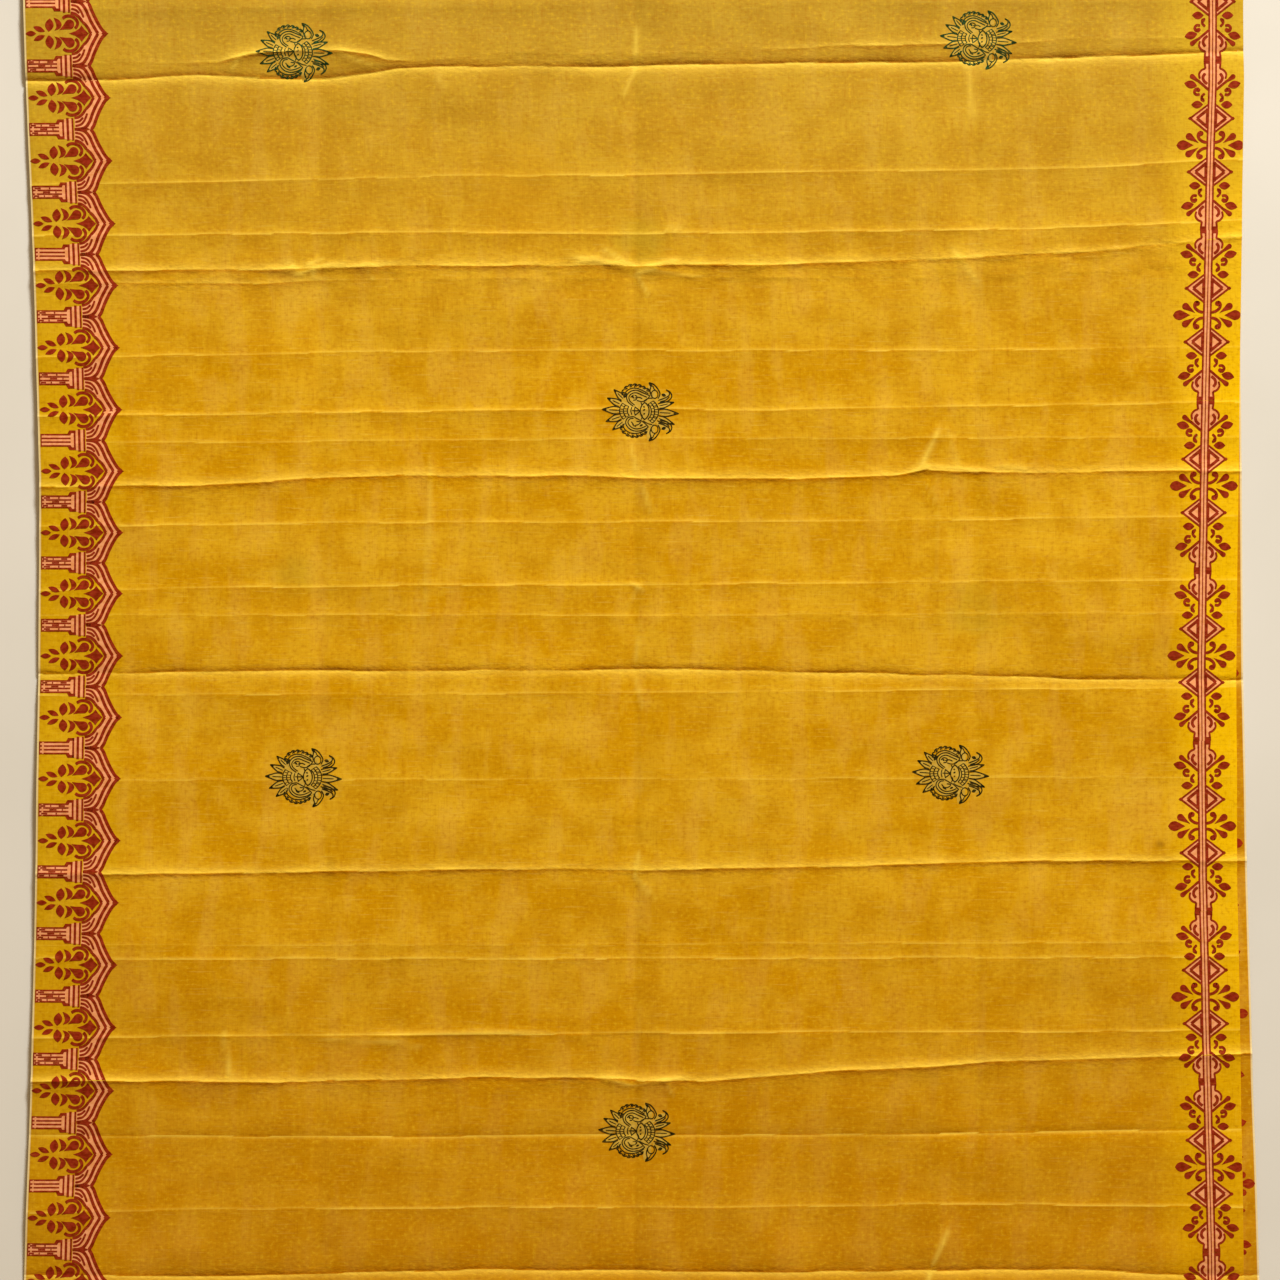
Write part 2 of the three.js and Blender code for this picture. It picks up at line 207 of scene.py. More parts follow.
# Short folds from one point to another: where the cloth is pinched or slack
Pucker = namedtuple("Pucker", "x0 y0 x1 y1 rise reach")
PUCKERS = [Pucker(*row) for row in [
    (290, 244, 270, 203, 1.2, 5.5), (296, 246, 308, 204, 0.35, 4.0), (273, 192, 287, 168, 0.35, 2.6),
    (283, 188, 288, 168, 0.3, 2.6), (300, 184, 289, 168, 0.3, 2.6), (288, 166, 286, 90, 0.25, 4.0),
    (262, 199, 280, 206, 0.7, 3.0), (280, 206, 330, 202, 0.5, 2.8), (348, 206, 376, 203, 0.6, 2.8),
    (-201, 586, -186, 560, 0.5, 3.0), (-66, 404, -42, 408, 0.6, 3.0), (-34, 404, -17, 399, 0.7, 3.0),
    (-8, 393, 14, 398, 0.8, 3.0), (46, 404, 66, 400, 0.5, 3.0), (98, 398, 124, 402, 0.6, 3.0),
    (-350, 408, -338, 398, 0.7, 3.0), (-328, 402, -312, 408, 0.7, 3.0), (-352, 398, -330, 392, 0.6, 3.0),
    (-310, 398, -290, 404, 0.6, 3.0), (21, 434, 30, 441, 0.5, 3.0), (29, 433, 38, 441, 0.5, 3.0),
    (299, -537, 281, -577, 1.3, 4.0), (281, -577, 276, -600, 0.8, 4.0), (-340, 392, -300, 404, 0.9, 3.5),
    (-325, 404, -318, 386, 0.8, 3.5), (-300, 398, -240, 404, 0.6, 3.5), (-272, 404, -262, 385, 0.6, 3.5),
    (-70, 410, -20, 402, 0.9, 3.5), (-40, 418, -2, 396, 0.8, 4.0), (-2, 398, 34, 407, 0.9, 3.5),
    (-6, 392, 6, 372, 0.7, 3.5), (6, 396, 60, 390, 0.5, 3.5), (-40, -391, -10, -398, 0.9, 3.5),
    (-10, -398, 40, -390, 0.8, 3.5), (20, -392, 30, -408, 0.6, 3.0), (-8, -196, -4, -170, 0.7, 4.0),
    (-10, -192, 12, -216, 0.6, 4.0), (-8, 12, -4, 40, 0.6, 4.0), (-8, 2, 0, -30, 0.5, 4.0),
    (-6, 198, -12, 228, 0.6, 4.0), (-2, 192, 8, 160, 0.7, 4.0), (-8, 600, -6, 634, 0.8, 4.0),
    (-6, 596, -20, 566, 0.6, 4.0), (-258, -349, -100, -346, 0.7, 3.0), (-320, -352, -230, -357, 0.5, 3.0),
    (-258, -352, -210, -362, 0.4, 3.0), (-408, -346, -402, -394, 0.7, 4.0),
    (-392, 606, -402, 590, 0.8, 3.5), (-300, 609, -262, 596, 0.8, 4.0), (-12, 92, 2, 84, 0.8, 3.0),
    (-4, 90, -14, 70, 0.5, 3.0), (-206, 220, -212, 60, 0.5, 5.0), (300, 420, 330, 380, 0.6, 6.0),
    (316, 610, 322, 540, 0.5, 6.0),
]]

SHORT_FADE = 0.3  # share of a short fold's length over which it dies out
SHORT_CREST = 0.3  # how round its crest is, as a share of its reach

# Broad, soft swells and hollows of the cloth, in the same columns
SWELLS = [Pucker(*row) for row in [
    (-345, -400, -450, -600, 1.5, 34), (-50, -400, -160, -590, -1.1, 30), (60, -470, 180, -640, 1.4, 36),
    (470, -620, 560, -430, -1.0, 34), (-520, -260, -300, -330, 0.9, 40), (-200, -120, 120, -150, 0.8, 44),
    (200, 90, 480, 60, 0.8, 44), (-480, 120, -260, 60, -0.8, 40), (-440, 520, -160, 560, -0.8, 44),
    (80, 540, 120, 300, 0.8, 50), (400, 560, 420, 300, -0.7, 44), (-420, 330, -300, 230, 0.9, 40),
    (300, -260, 520, -300, 0.9, 40), (-560, -480, -480, -560, -0.8, 30),
]]

# Random unevenness: the size of a cell along x and y, and its height
Grain = namedtuple("Grain", "seed cell_x cell_y height")
GRAINS = [
    Grain(11, 210, 130, 1.2),
    Grain(12, 84, 52, 0.7),
    Grain(13, 34, 20, 0.24),
]
LOWER_GRAINS = 2  # so many of these show in the layers beneath too
NOISE_CELLS = 64
CRUMPLES = Grain(14, 15, 6.5, 0.55)
CRUMPLE_REACH = 9.0
UNEVEN = Grain(15, 46, 400, 0.45)  # share of a crease's rise that comes and goes along it
WANDER = Grain(16, 38, 500, 0.9)  # how far its crest strays
EDGE_RIPPLE = Grain(40, 40, 70, 0.35)
RIPPLE_REACH = 14.0

EDGE_DROP = {"top": 1.0, "second": 1.5}  # how far a selvedge sinks
EDGE_REACH = {"top": 5.0, "second": 9.0}
CLEAR = 0.06  # least gap between two layers
END_FADE = 26.0  # length over which the creases die out before the outer fold
END_CLEAR = 8.0  # and what stays flat before it
HEM_RISE = 0.45
HEM_RAMP = 0.8
HEM_TURN = 0.4  # what the turned edge takes from the end of the cloth
LOWER_SHARE = 0.85  # how much of the top layer's creases shows in the layer beneath
THIRD_SHARE = 0.7  # and how much of that layer's in the third
EDGE_SINK = 0.4  # how far a crease lowers the third layer at most, at its selvedges
MIDDLE_SINK = 1.2  # and how much further away from them
REST_BLEND = (-8, 3)  # how far out and in from its selvedge a layer lifts the one that lies on it

# Spacing of the lines of the top layer's mesh
ROW_STEP = 8.0
ROW_GROWTH = {"fold": 0.25, "thin": 0.55, "end_": 0.5}
ROW_FINEST = {"fold": 0.8, "thin": 0.8, "end_": 3.0}
KEPT_COLUMNS = (-315, -8, 290, 324)  # x of creases along the cloth that a line of the mesh follows
COLUMN_ZONES = [  # from x, to x, spacing
    (-610, -595, 2.0), (-595, -500, 6.0), (-500, -420, 8.0), (-420, -370, 4.5), (-370, -230, 4.2),
    (-230, -200, 4.0), (-200, -90, 7.5), (-90, -30, 4.2), (-30, 40, 3.0), (40, 120, 6.0),
    (120, 240, 8.0), (240, 262, 4.5), (262, 310, 2.4), (310, 345, 4.0), (345, 480, 8.0),
    (480, 578, 6.5), (578, 590, 2.0),
]
UNDER_ROWS = 3  # the hidden side of a shell has one line for this many of the seen side
UNDER_COLUMNS = 4
SECOND_ROW_STEP = 10.0
FINE_STEP = 0.25  # in which spacings are added up


def kind(crease):
    """fold, thin or end_: the sort of crease that its name starts with."""
    return crease.name[:4]


def main_folds():
    return [c for c in CREASES if kind(c) == "fold" and not c.name.endswith("upper")]


def noise(grain, x, y):
    """Smooth random height from -1 to 1 times the grain's, with cells of its size."""
    rng = np.random.default_rng(SEED * 1000 + grain.seed)
    lattice = rng.uniform(-1, 1, (NOISE_CELLS, NOISE_CELLS))
    u = np.asarray(x, float) / grain.cell_x + NOISE_CELLS // 2
    v = np.asarray(y, float) / grain.cell_y + NOISE_CELLS // 2
    u, v = np.broadcast_arrays(u, v)
    i = np.floor(u).astype(int)
    j = np.floor(v).astype(int)
    fu = u - i
    fv = v - j
    fu = fu * fu * (3 - 2 * fu)
    fv = fv * fv * (3 - 2 * fv)

    def corner(a, b):
        return lattice[(i + a) % NOISE_CELLS, (j + b) % NOISE_CELLS]

    low = corner(0, 0) * (1 - fu) + corner(1, 0) * fu
    high = corner(0, 1) * (1 - fu) + corner(1, 1) * fu
    return grain.height * (low * (1 - fv) + high * fv)


def smoothstep(a, b, x):
    t = np.clip((np.asarray(x, float) - a) / (b - a), 0, 1)
    return t * t * (3 - 2 * t)


def edges(layer, y):
    """x of the left and right selvedges of a layer at y."""
    rows = np.array([e.y for e in EDGES], float)
    left = np.interp(y, rows, [getattr(e, layer + "_left") for e in EDGES])
    right = np.interp(y, rows, [getattr(e, layer + "_right") for e in EDGES])
    return left, right


def crest_at(crease, x):
    points = np.array(crease.points, float)
    return np.interp(x, points[:, 0], points[:, 1])


def rise_at(crease, x):
    points = np.array(crease.points, float)
    return np.interp(x, points[:, 0], points[:, 2])


def slope_profile(distance, reach, crest):
    """1 on the crest of a crease and falling to 0 on both sides of it."""
    return np.exp(-(np.sqrt(distance ** 2 + crest ** 2) - crest) / reach)


def crease_profile(crease, away):
    """The same for a crease whose two sides differ, with its pressed line."""
    share = SHARP[kind(crease)]
    side = np.where(away > 0, crease.above, crease.below)
    broad = slope_profile(away, side, crease.crest)
    return (1 - share) * broad + share * slope_profile(away, SHARP_REACH, crease.crest * 0.6)


def short_fold(pucker, x, y):
    """Height of a short fold: a ridge along its line that dies out past both ends."""
    along = np.array([pucker.x1 - pucker.x0, pucker.y1 - pucker.y0], float)
    length = math.hypot(*along)
    along /= length
    dx = x - pucker.x0
    dy = y - pucker.y0
    t = dx * along[0] + dy * along[1]
    away = dx * along[1] - dy * along[0]
    fading = length * SHORT_FADE
    beyond = np.maximum(0, np.abs(t - length / 2) - fading) / fading
    crest = pucker.reach * SHORT_CREST
    return pucker.rise * np.exp(-beyond ** 2 * 2) * slope_profile(away, pucker.reach, crest)


def own_grain(grain, number):
    """The grain of one crease."""
    return grain._replace(seed=grain.seed + 20 * (number + 1))


def from_crest(number, crease, x, y):
    """Distance above a crease's crest, which strays a little."""
    stray = noise(own_grain(WANDER, number), x, 0 * x) * min(1, crease.below / 8)
    return y - crest_at(crease, x) - stray


def near_fold(pucker, x, y):
    """Which points a short fold can reach."""
    near = pucker.reach * 7
    return (
        (x > min(pucker.x0, pucker.x1) - near) & (x < max(pucker.x0, pucker.x1) + near)
        & (y > min(pucker.y0, pucker.y1) - near) & (y < max(pucker.y0, pucker.y1) + near))


def relief(x, y, layer="top"):
    """Height of the creases over the flat cloth. The layers under the top one have its folds, but not its
    finer marks."""
    x = np.asarray(x, float)
    y = np.asarray(y, float)
    fine = layer == "top"
    scale = bpy.context.scene.saree_cloth.crease_scale * (1 if fine else LOWER_SHARE)
    height = np.zeros(np.broadcast(x, y).shape)
    crumpled = np.zeros_like(height)
    for number, crease in enumerate(CREASES):
        if not fine and kind(crease) != "fold":
            continue
        away = from_crest(number, crease, x, y)
        uneven = (1 + noise(own_grain(UNEVEN, number), x, 0 * x)) * LIFT[kind(crease)]
        height += rise_at(crease, x) * uneven * crease_profile(crease, away)
        crumpled = np.maximum(crumpled, crease.crumple * np.exp(-np.abs(away) / CRUMPLE_REACH))
    for along in ALONG if fine else ALONG[:LOWER_ALONG]:
        shown = smoothstep(along.start - ALONG_FADE, along.start + ALONG_FADE, y) * (
            1 - smoothstep(along.end - ALONG_FADE, along.end + ALONG_FADE, y))
        height += along.rise * shown * slope_profile(x - along.x, along.reach, along.crest)
    if fine:
        for pucker in PUCKERS:
            inside = near_fold(pucker, x, y)
            height[inside] += short_fold(pucker, x[inside], y[inside])
        height += crumpled * noise(CRUMPLES, x, y)
    for swell in SWELLS:
        height += short_fold(swell, x, y)
    for grain in GRAINS if fine else GRAINS[:LOWER_GRAINS]:
        height += noise(grain, x, y)
    fade = 1 - smoothstep(FOLD_TURN - END_CLEAR - END_FADE, FOLD_TURN - END_CLEAR, y)
    return height * scale * fade


def pressed(x, y):
    """1 on a crease across the cloth and 0 away from it: where the cloth is crumpled most finely."""
    result = np.zeros(np.broadcast(x, y).shape)
    for crease in CREASES:
        weight = PRESSED[kind(crease)] * np.clip(np.abs(rise_at(crease, x)), LEAST_PRESSED, 1)
        result = np.maximum(result, weight * np.exp(-np.abs(y - crest_at(crease, x)) / PRESSED_REACH))
    return result


def painted_crease_light(x, y, fine):
    """Above 0 where a painted highlight lightens the side of a crease that faces the key light, and along the
    short folds, and below 0 where painted shade darkens a crease's other side. fine is for the top layer,
    which has more than the main creases."""
    result = np.zeros(np.broadcast(x, y).shape)
    for number, crease in enumerate(CREASES):
        if not fine and kind(crease) != "fold":
            continue
        crease_paint = PAINTED_LIGHT[kind(crease)]
        rise = rise_at(crease, x) * (1 + noise(own_grain(UNEVEN, number), x, 0 * x))
        outward = from_crest(number, crease, x, y) * np.sign(rise)
        size = np.clip(np.abs(rise) / PAINTED_LIGHT_FULL[kind(crease)], 0, 1)
        pale = crease_paint.pale * np.exp(-np.abs(outward) / crease_paint.pale_reach)
        deep = -crease_paint.deep * np.exp(-np.abs(outward) / crease_paint.deep_reach)
        result += size * np.where(outward > 0, pale, deep)
    # painted highlights along the short folds of the top layer
    for pucker in PUCKERS if fine else []:
        line = pucker._replace(
            rise=min(PUCKER_HIGHLIGHT, abs(pucker.rise)), reach=pucker.reach * PUCKER_HIGHLIGHT_REACH)
        inside = near_fold(line, x, y)
        result[inside] += short_fold(line, x[inside], y[inside])
    return np.clip(result, -1, 1)


def layer_height(layer, x, y, share):
    """z of a layer's upper side. share is 0 at the left selvedge and 1 at the right one."""
    left, right = edges(layer, y)
    inward = np.minimum(share, 1 - share) * (right - left)
    sink = EDGE_DROP[layer] * np.exp(-inward / EDGE_REACH[layer])
    ripple = noise(EDGE_RIPPLE, x * 0, y) * np.exp(-inward / RIPPLE_REACH)
    flat = smoothstep(FOLD_TURN - SEAM_BLEND, FOLD_TURN, y)
    z = LEVEL[layer] + relief(x, y, layer) - (sink - ripple) * (1 - flat)
    return np.maximum(z, resting(layer, x, y) + CLOTH + CLEAR)


def resting(layer, x, y):
    """z of what lies under a layer: the layer beneath, and past its selvedges the surface all lie on."""
    beneath = {"top": "second", "second": "third"}[layer]
    left, right = edges(beneath, y)
    inside = smoothstep(*REST_BLEND, np.minimum(x - left, right - x))
    if beneath == "third":
        return inside * (LEVEL["third"] + third_rise(x, y, np.minimum(x - left, right - x)))
    inward = np.clip(np.minimum(x - left, right - x), 0, None)
    sink = EDGE_DROP["second"] * np.exp(-inward / EDGE_REACH["second"])
    return inside * (LEVEL["second"] + relief(x, y, "second") - sink)


def third_rise(x, y, inward):
    """Height of the creases on the hidden layers, whose edges stay thick."""
    rise = relief(x, y, "second") * THIRD_SHARE
    return np.maximum(rise, -EDGE_SINK - MIDDLE_SINK * smoothstep(4, 40, inward))


# ---- Meshes


def spaced(places, spacing):
    """Places from the first to the last of `places`, which all stay in, with gaps that `spacing` gives."""
    out = [places[0]]
    for a, b in zip(places, places[1:]):
        fine = np.linspace(a, b, max(3, int((b - a) / FINE_STEP) + 2))
        density = np.array([1 / spacing(v) for v in fine])
        total = np.concatenate([[0], np.cumsum((density[1:] + density[:-1]) / 2 * np.diff(fine))])
        count = max(1, int(round(total[-1])))
        out.extend(np.interp(np.linspace(0, total[-1], count + 1)[1:], total, fine))
    return np.array(out)


class ClothGrid:
    """The upper side of a layer as a net of points, whose rows follow the creases."""

    def __init__(self, layer, start, end, forced, row_step, creases, columns):
        self.layer = layer
        self.creases = [c for c in creases if start < crest_at(c, 0) < end]
        middle = {c.name: float(crest_at(c, MIDDLE_X)) for c in self.creases}

        def spacing(v):
            gap = row_step
            for c in self.creases:
                gap = min(gap, ROW_FINEST[kind(c)] + ROW_GROWTH[kind(c)] * abs(v - middle[c.name]))
            return gap

        self.lines = sorted({start, *forced, *middle.values(), end})
        self.v = spaced(self.lines, spacing)
        self.share = columns
        v, share = np.meshgrid(self.v, self.share, indexing="ij")
        self.y = self.place_y(v)
        left, right = edges(layer, self.y)
        self.x = left + share * (right - left)
        self.z = layer_height(layer, self.x, self.y, share)
        self.points = np.stack([self.x, self.y, self.z], axis=-1)

    def strays(self, share):
        """How far each line that the rows follow strays from its middle, at a share of the width."""
        x = LEFT_X + CLOTH_WIDTH * np.asarray(share, float)
        strays = []
        for line in self.lines:
            found = [c for c in self.creases if abs(crest_at(c, MIDDLE_X) - line) < 1e-9]
            strays.append(crest_at(found[0], x) - line if found else 0 * x)
        return np.array(strays)

    def place_y(self, v):
        """y of the points, with the rows between two creases strayed by a share of each one's."""
        strays = self.strays(self.share)
        lines = np.array(self.lines)
        y = np.empty_like(v)
        for column in range(len(self.share)):
            y[:, column] = v[:, column] + np.interp(v[:, column], lines, strays[:, column])
        return y

    def height(self, share, y):
        """z of the net at a share of the width and a y, by the triangles of its squares."""
        share = np.clip(np.asarray(share, float), 0, 1)
        column = np.clip(np.searchsorted(self.share, share, side="right") - 1, 0, len(self.share) - 2)
        across = (share - self.share[column]) / (self.share[column + 1] - self.share[column])
        result = np.empty(len(share))
        for c in np.unique(column):
            chosen = np.nonzero(column == c)[0]
            left_y = self.y[:, c]
            right_y = self.y[:, c + 1]
            t = across[chosen]
            wanted = np.asarray(y)[chosen]
            row = np.clip(np.searchsorted(left_y, wanted) - 1, 0, len(left_y) - 2)
            for _ in range(4):
                low = left_y[row] * (1 - t) + right_y[row] * t
                high = left_y[row + 1] * (1 - t) + right_y[row + 1] * t
                row = np.where(wanted < low, row - 1, np.where(wanted > high, row + 1, row))
                row = np.clip(row, 0, len(left_y) - 2)
            low = left_y[row] * (1 - t) + right_y[row] * t
            high = left_y[row + 1] * (1 - t) + right_y[row + 1] * t
            s = np.clip((wanted - low) / (high - low), 0, 1)
            z00, z01 = self.z[row, c], self.z[row, c + 1]
            z10, z11 = self.z[row + 1, c], self.z[row + 1, c + 1]
            result[chosen] = (z00 * (1 - t) + z01 * t) * (1 - s) + (z10 * (1 - t) + z11 * t) * s
        return result

    def rows(self, low, high):
        """Which rows lie from one line of the net to another."""
        inside = (self.v >= low - 1e-6) & (self.v <= high + 1e-6)
        return np.nonzero(inside)[0]


def thinned(count, step):
    """Every so many of the lines, and the last one."""
    kept = list(range(0, count, step))
    if kept[-1] != count - 1:
        if count - 1 - kept[-1] < step / 2 and len(kept) > 1:
            kept.pop()
        kept.append(count - 1)
    return kept


def shell_faces(rows, columns, row_step, column_step):
    """Faces of a closed shell. The seen side has every row and column, the hidden one the thinned ones.
    Returns the faces, and the rows and columns that the hidden side keeps."""
    kept_rows = thinned(rows, row_step)
    kept_columns = thinned(columns, column_step)
    base = rows * columns

    def top(r, c):
        return r * columns + c

    low = {
        (r, c): base + i * len(kept_columns) + j
        for i, r in enumerate(kept_rows) for j, c in enumerate(kept_columns)}
    faces = [
        (top(r, c), top(r, c + 1), top(r + 1, c + 1), top(r + 1, c))
        for r in range(rows - 1) for c in range(columns - 1)]
    row_pairs = list(zip(kept_rows, kept_rows[1:]))
    column_pairs = list(zip(kept_columns, kept_columns[1:]))
    for r0, r1 in row_pairs:
        for c0, c1 in column_pairs:
            faces.append((low[r0, c0], low[r1, c0], low[r1, c1], low[r0, c1]))
    for r0, r1 in row_pairs:
        left = [top(r, 0) for r in range(r0, r1 + 1)]
        faces.append((*left, low[r1, 0], low[r0, 0]))
        right = [top(r, columns - 1) for r in range(r1, r0 - 1, -1)]
        faces.append((*right, low[r0, columns - 1], low[r1, columns - 1]))
    for c0, c1 in column_pairs:
        front = [top(0, c) for c in range(c1, c0 - 1, -1)]
        faces.append((*front, low[0, c0], low[0, c1]))
        back = [top(rows - 1, c) for c in range(c0, c1 + 1)]
        faces.append((*back, low[rows - 1, c1], low[rows - 1, c0]))
    return faces, kept_rows, kept_columns


def new_object(name, points, faces, materials):
    """A mesh object from points in millimetres."""
    mesh = bpy.data.meshes.new(name)
    mesh.from_pydata((np.asarray(points, float) * METRE).tolist(), [], faces)
    mesh.validate()
    obj = bpy.data.objects.new(name, mesh)
    bpy.context.scene.collection.objects.link(obj)
    for material in materials:
        mesh.materials.append(material)
    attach(obj, "root")
    return obj


def smooth_by_angle(obj, degrees=40):
    bpy.ops.object.select_all(action="DESELECT")
    obj.select_set(True)
    bpy.context.view_layer.objects.active = obj
    bpy.ops.object.shade_smooth_by_angle(angle=math.radians(degrees))


def mark_cloth(obj, across, along, inward):
    """Gives the cloth its own map, in metres of cloth, and how near each point is to a selvedge and a
    crease."""
    mesh = obj.data
    loops = np.empty(len(mesh.loops), int)
    mesh.loops.foreach_get("vertex_index", loops)
    uv = np.stack([across, along], axis=-1)[loops] * METRE
    layer = mesh.uv_layers.new(name="Weave")
    layer.data.foreach_set("uv", uv.astype(np.float32).ravel())
    near = mesh.attributes.new("Selvedge", "FLOAT", "POINT")
    value = np.clip(1 - inward / SELVEDGE_WIDTH, 0, 1)
    near.data.foreach_set("value", value.astype(np.float32))
    points = np.empty(len(mesh.vertices) * 3)
    mesh.vertices.foreach_get("co", points)
    points = points.reshape(-1, 3) / METRE
    creased = mesh.attributes.new("Pressed", "FLOAT", "POINT")
    creased.data.foreach_set("value", pressed(points[:, 0], points[:, 1]).astype(np.float32))
    # painted highlight and painted shade along the creases, kept for the cloth's material
    light_marks = mesh.attributes.new("Worn", "FLOAT", "POINT")
    marks = painted_crease_light(points[:, 0], points[:, 1], obj.name.startswith("Top"))
    light_marks.data.foreach_set("value", marks.astype(np.float32))


def cloth_shell(name, outer, normals, across, along, inward, materials, thickness=CLOTH,
                steps=(UNDER_ROWS, UNDER_COLUMNS)):
    """A closed shell of cloth under a net of outer points. normals point out of it."""
    rows, columns = outer.shape[:2]
    faces, kept_rows, kept_columns = shell_faces(rows, columns, *steps)
    inner = (outer - normals * thickness)[np.ix_(kept_rows, kept_columns)]
    points = np.concatenate([outer.reshape(-1, 3), inner.reshape(-1, 3)])
    obj = new_object(name, points, faces, materials)

    def both_sides(values, under=0.0):
        return np.concatenate([values.ravel(), values[np.ix_(kept_rows, kept_columns)].ravel() + under])

    mark_cloth(obj, both_sides(across), both_sides(along), both_sides(inward, SELVEDGE_WIDTH))
    smooth_by_angle(obj)
    return obj


GRIDS = {}


def column_shares():
    """Where the columns of the top layer's net lie, as shares of its width."""
    places = [COLUMN_ZONES[0][0]] + [zone[1] for zone in COLUMN_ZONES]

    def spacing(x):
        for low, high, step in COLUMN_ZONES:
            if low <= x <= high:
                return step
        return COLUMN_ZONES[-1][2]

    x = spaced(sorted({places[0], places[-1], *KEPT_COLUMNS}), spacing)
    return (x - x[0]) / (x[-1] - x[0])


def second_shares():
    return np.concatenate([
        [0, 0.002, 0.006, 0.012], np.linspace(0.02, 0.95, 44), np.linspace(0.955, 0.99, 10),
        [0.993, 0.996, 0.998, 1]])


def hemmed_grid(layer, end, hem_line, row_step, creases, columns):
    """The net of a layer, raised where its hem is turned."""
    if layer not in GRIDS:
        grid = ClothGrid(
            layer, end + HEM_TURN, FOLD_TURN, [hem_line, hem_line - HEM_RAMP, SEAM], row_step, creases,
            columns)
        grid.z += HEM_RISE * smoothstep(hem_line, hem_line - HEM_RAMP, grid.y)
        grid.points[..., 2] = grid.z
        GRIDS[layer] = grid
    return GRIDS[layer]


def top_grid():
    return hemmed_grid("top", TOP_END, HEM_LINE, ROW_STEP, CREASES, column_shares())


def second_grid():
    return hemmed_grid(
        "second", SECOND_END, SECOND_HEM_LINE, SECOND_ROW_STEP, main_folds(), second_shares())


def grid_piece(name, grid, low, high, materials, thickness=CLOTH):
    """The stretch of a layer between two of its rows."""
    rows = grid.rows(low, high)
    outer = grid.points[rows].copy()
    normals = np.zeros_like(outer)
    normals[..., 2] = 1
    left, right = edges(grid.layer, outer[..., 1])
    share = np.broadcast_to(grid.share, outer.shape[:2])
    inward = (share if grid.layer == "top" else 1 - share) * (right - left)
    across = share * (right - left)
    return cloth_shell(name, outer, normals, across, outer[..., 1], inward, materials, thickness)


def fold_piece(name, grid, radius, low_layer, low_z, materials, arc_steps):
    """The turn of the cloth from a layer's last rows round to the layer that it continues as."""
    rows = grid.rows(SEAM, FOLD_TURN)
    upper = grid.points[rows]
    share = grid.share
    middle = low_z + radius
    layer_edges = edges(grid.layer, FOLD_TURN)
    x_turn = layer_edges[0] + share * (layer_edges[1] - layer_edges[0])
    nets = [upper]
    up = np.zeros_like(upper)
    up[..., 2] = 1
    normals = [up]
    along = [upper[..., 1]]
    angles = np.linspace(0, math.pi, arc_steps + 1)[1:]
    for angle in angles:
        direction = np.array([0, math.sin(angle), math.cos(angle)])
        row = np.stack([x_turn, np.full_like(x_turn, FOLD_TURN), np.full_like(x_turn, middle)], axis=-1)
        nets.append((row + radius * direction)[None])
        normals.append(np.broadcast_to(direction, row.shape)[None])
        along.append(np.full((1, len(share)), FOLD_TURN + radius * angle))
    low_left, low_right = edges(low_layer, SEAM)
    x_seam = low_left + share * (low_right - low_left)
    row = np.stack([x_seam, np.full_like(x_seam, SEAM), np.full_like(x_seam, low_z)], axis=-1)
    nets.append(row[None])
    normals.append(np.broadcast_to(np.array([0.0, 0.0, -1.0]), row.shape)[None])
    along.append(np.full((1, len(share)), FOLD_TURN + radius * math.pi + FOLD_TURN - SEAM))
    outer = np.concatenate(nets)
    width = layer_edges[1] - layer_edges[0]
    across = np.broadcast_to(share * width, outer.shape[:2])
    inward = np.broadcast_to((share if grid.layer == "top" else 1 - share) * width, outer.shape[:2])
    return cloth_shell(
        name, outer, np.concatenate(normals), across, np.concatenate(along), inward, materials,
        steps=(1, UNDER_COLUMNS))


HIDDEN_STEP = 14.0
HIDDEN_FINEST = 1.8
HIDDEN_GROWTH = 0.4
GROOVE = 4.0  # depth of the groove between the third and bottom layers
EDGE_ROUND = 0.2  # how far the middle of the third layer's edge stands in, and the bottom one's out
# Round of the lower fold: how far along its radius, and the share of the thickness left there
NOSE = [(0.35, 0.94), (0.7, 0.72), (0.92, 0.42), (1.0, 0.2)]


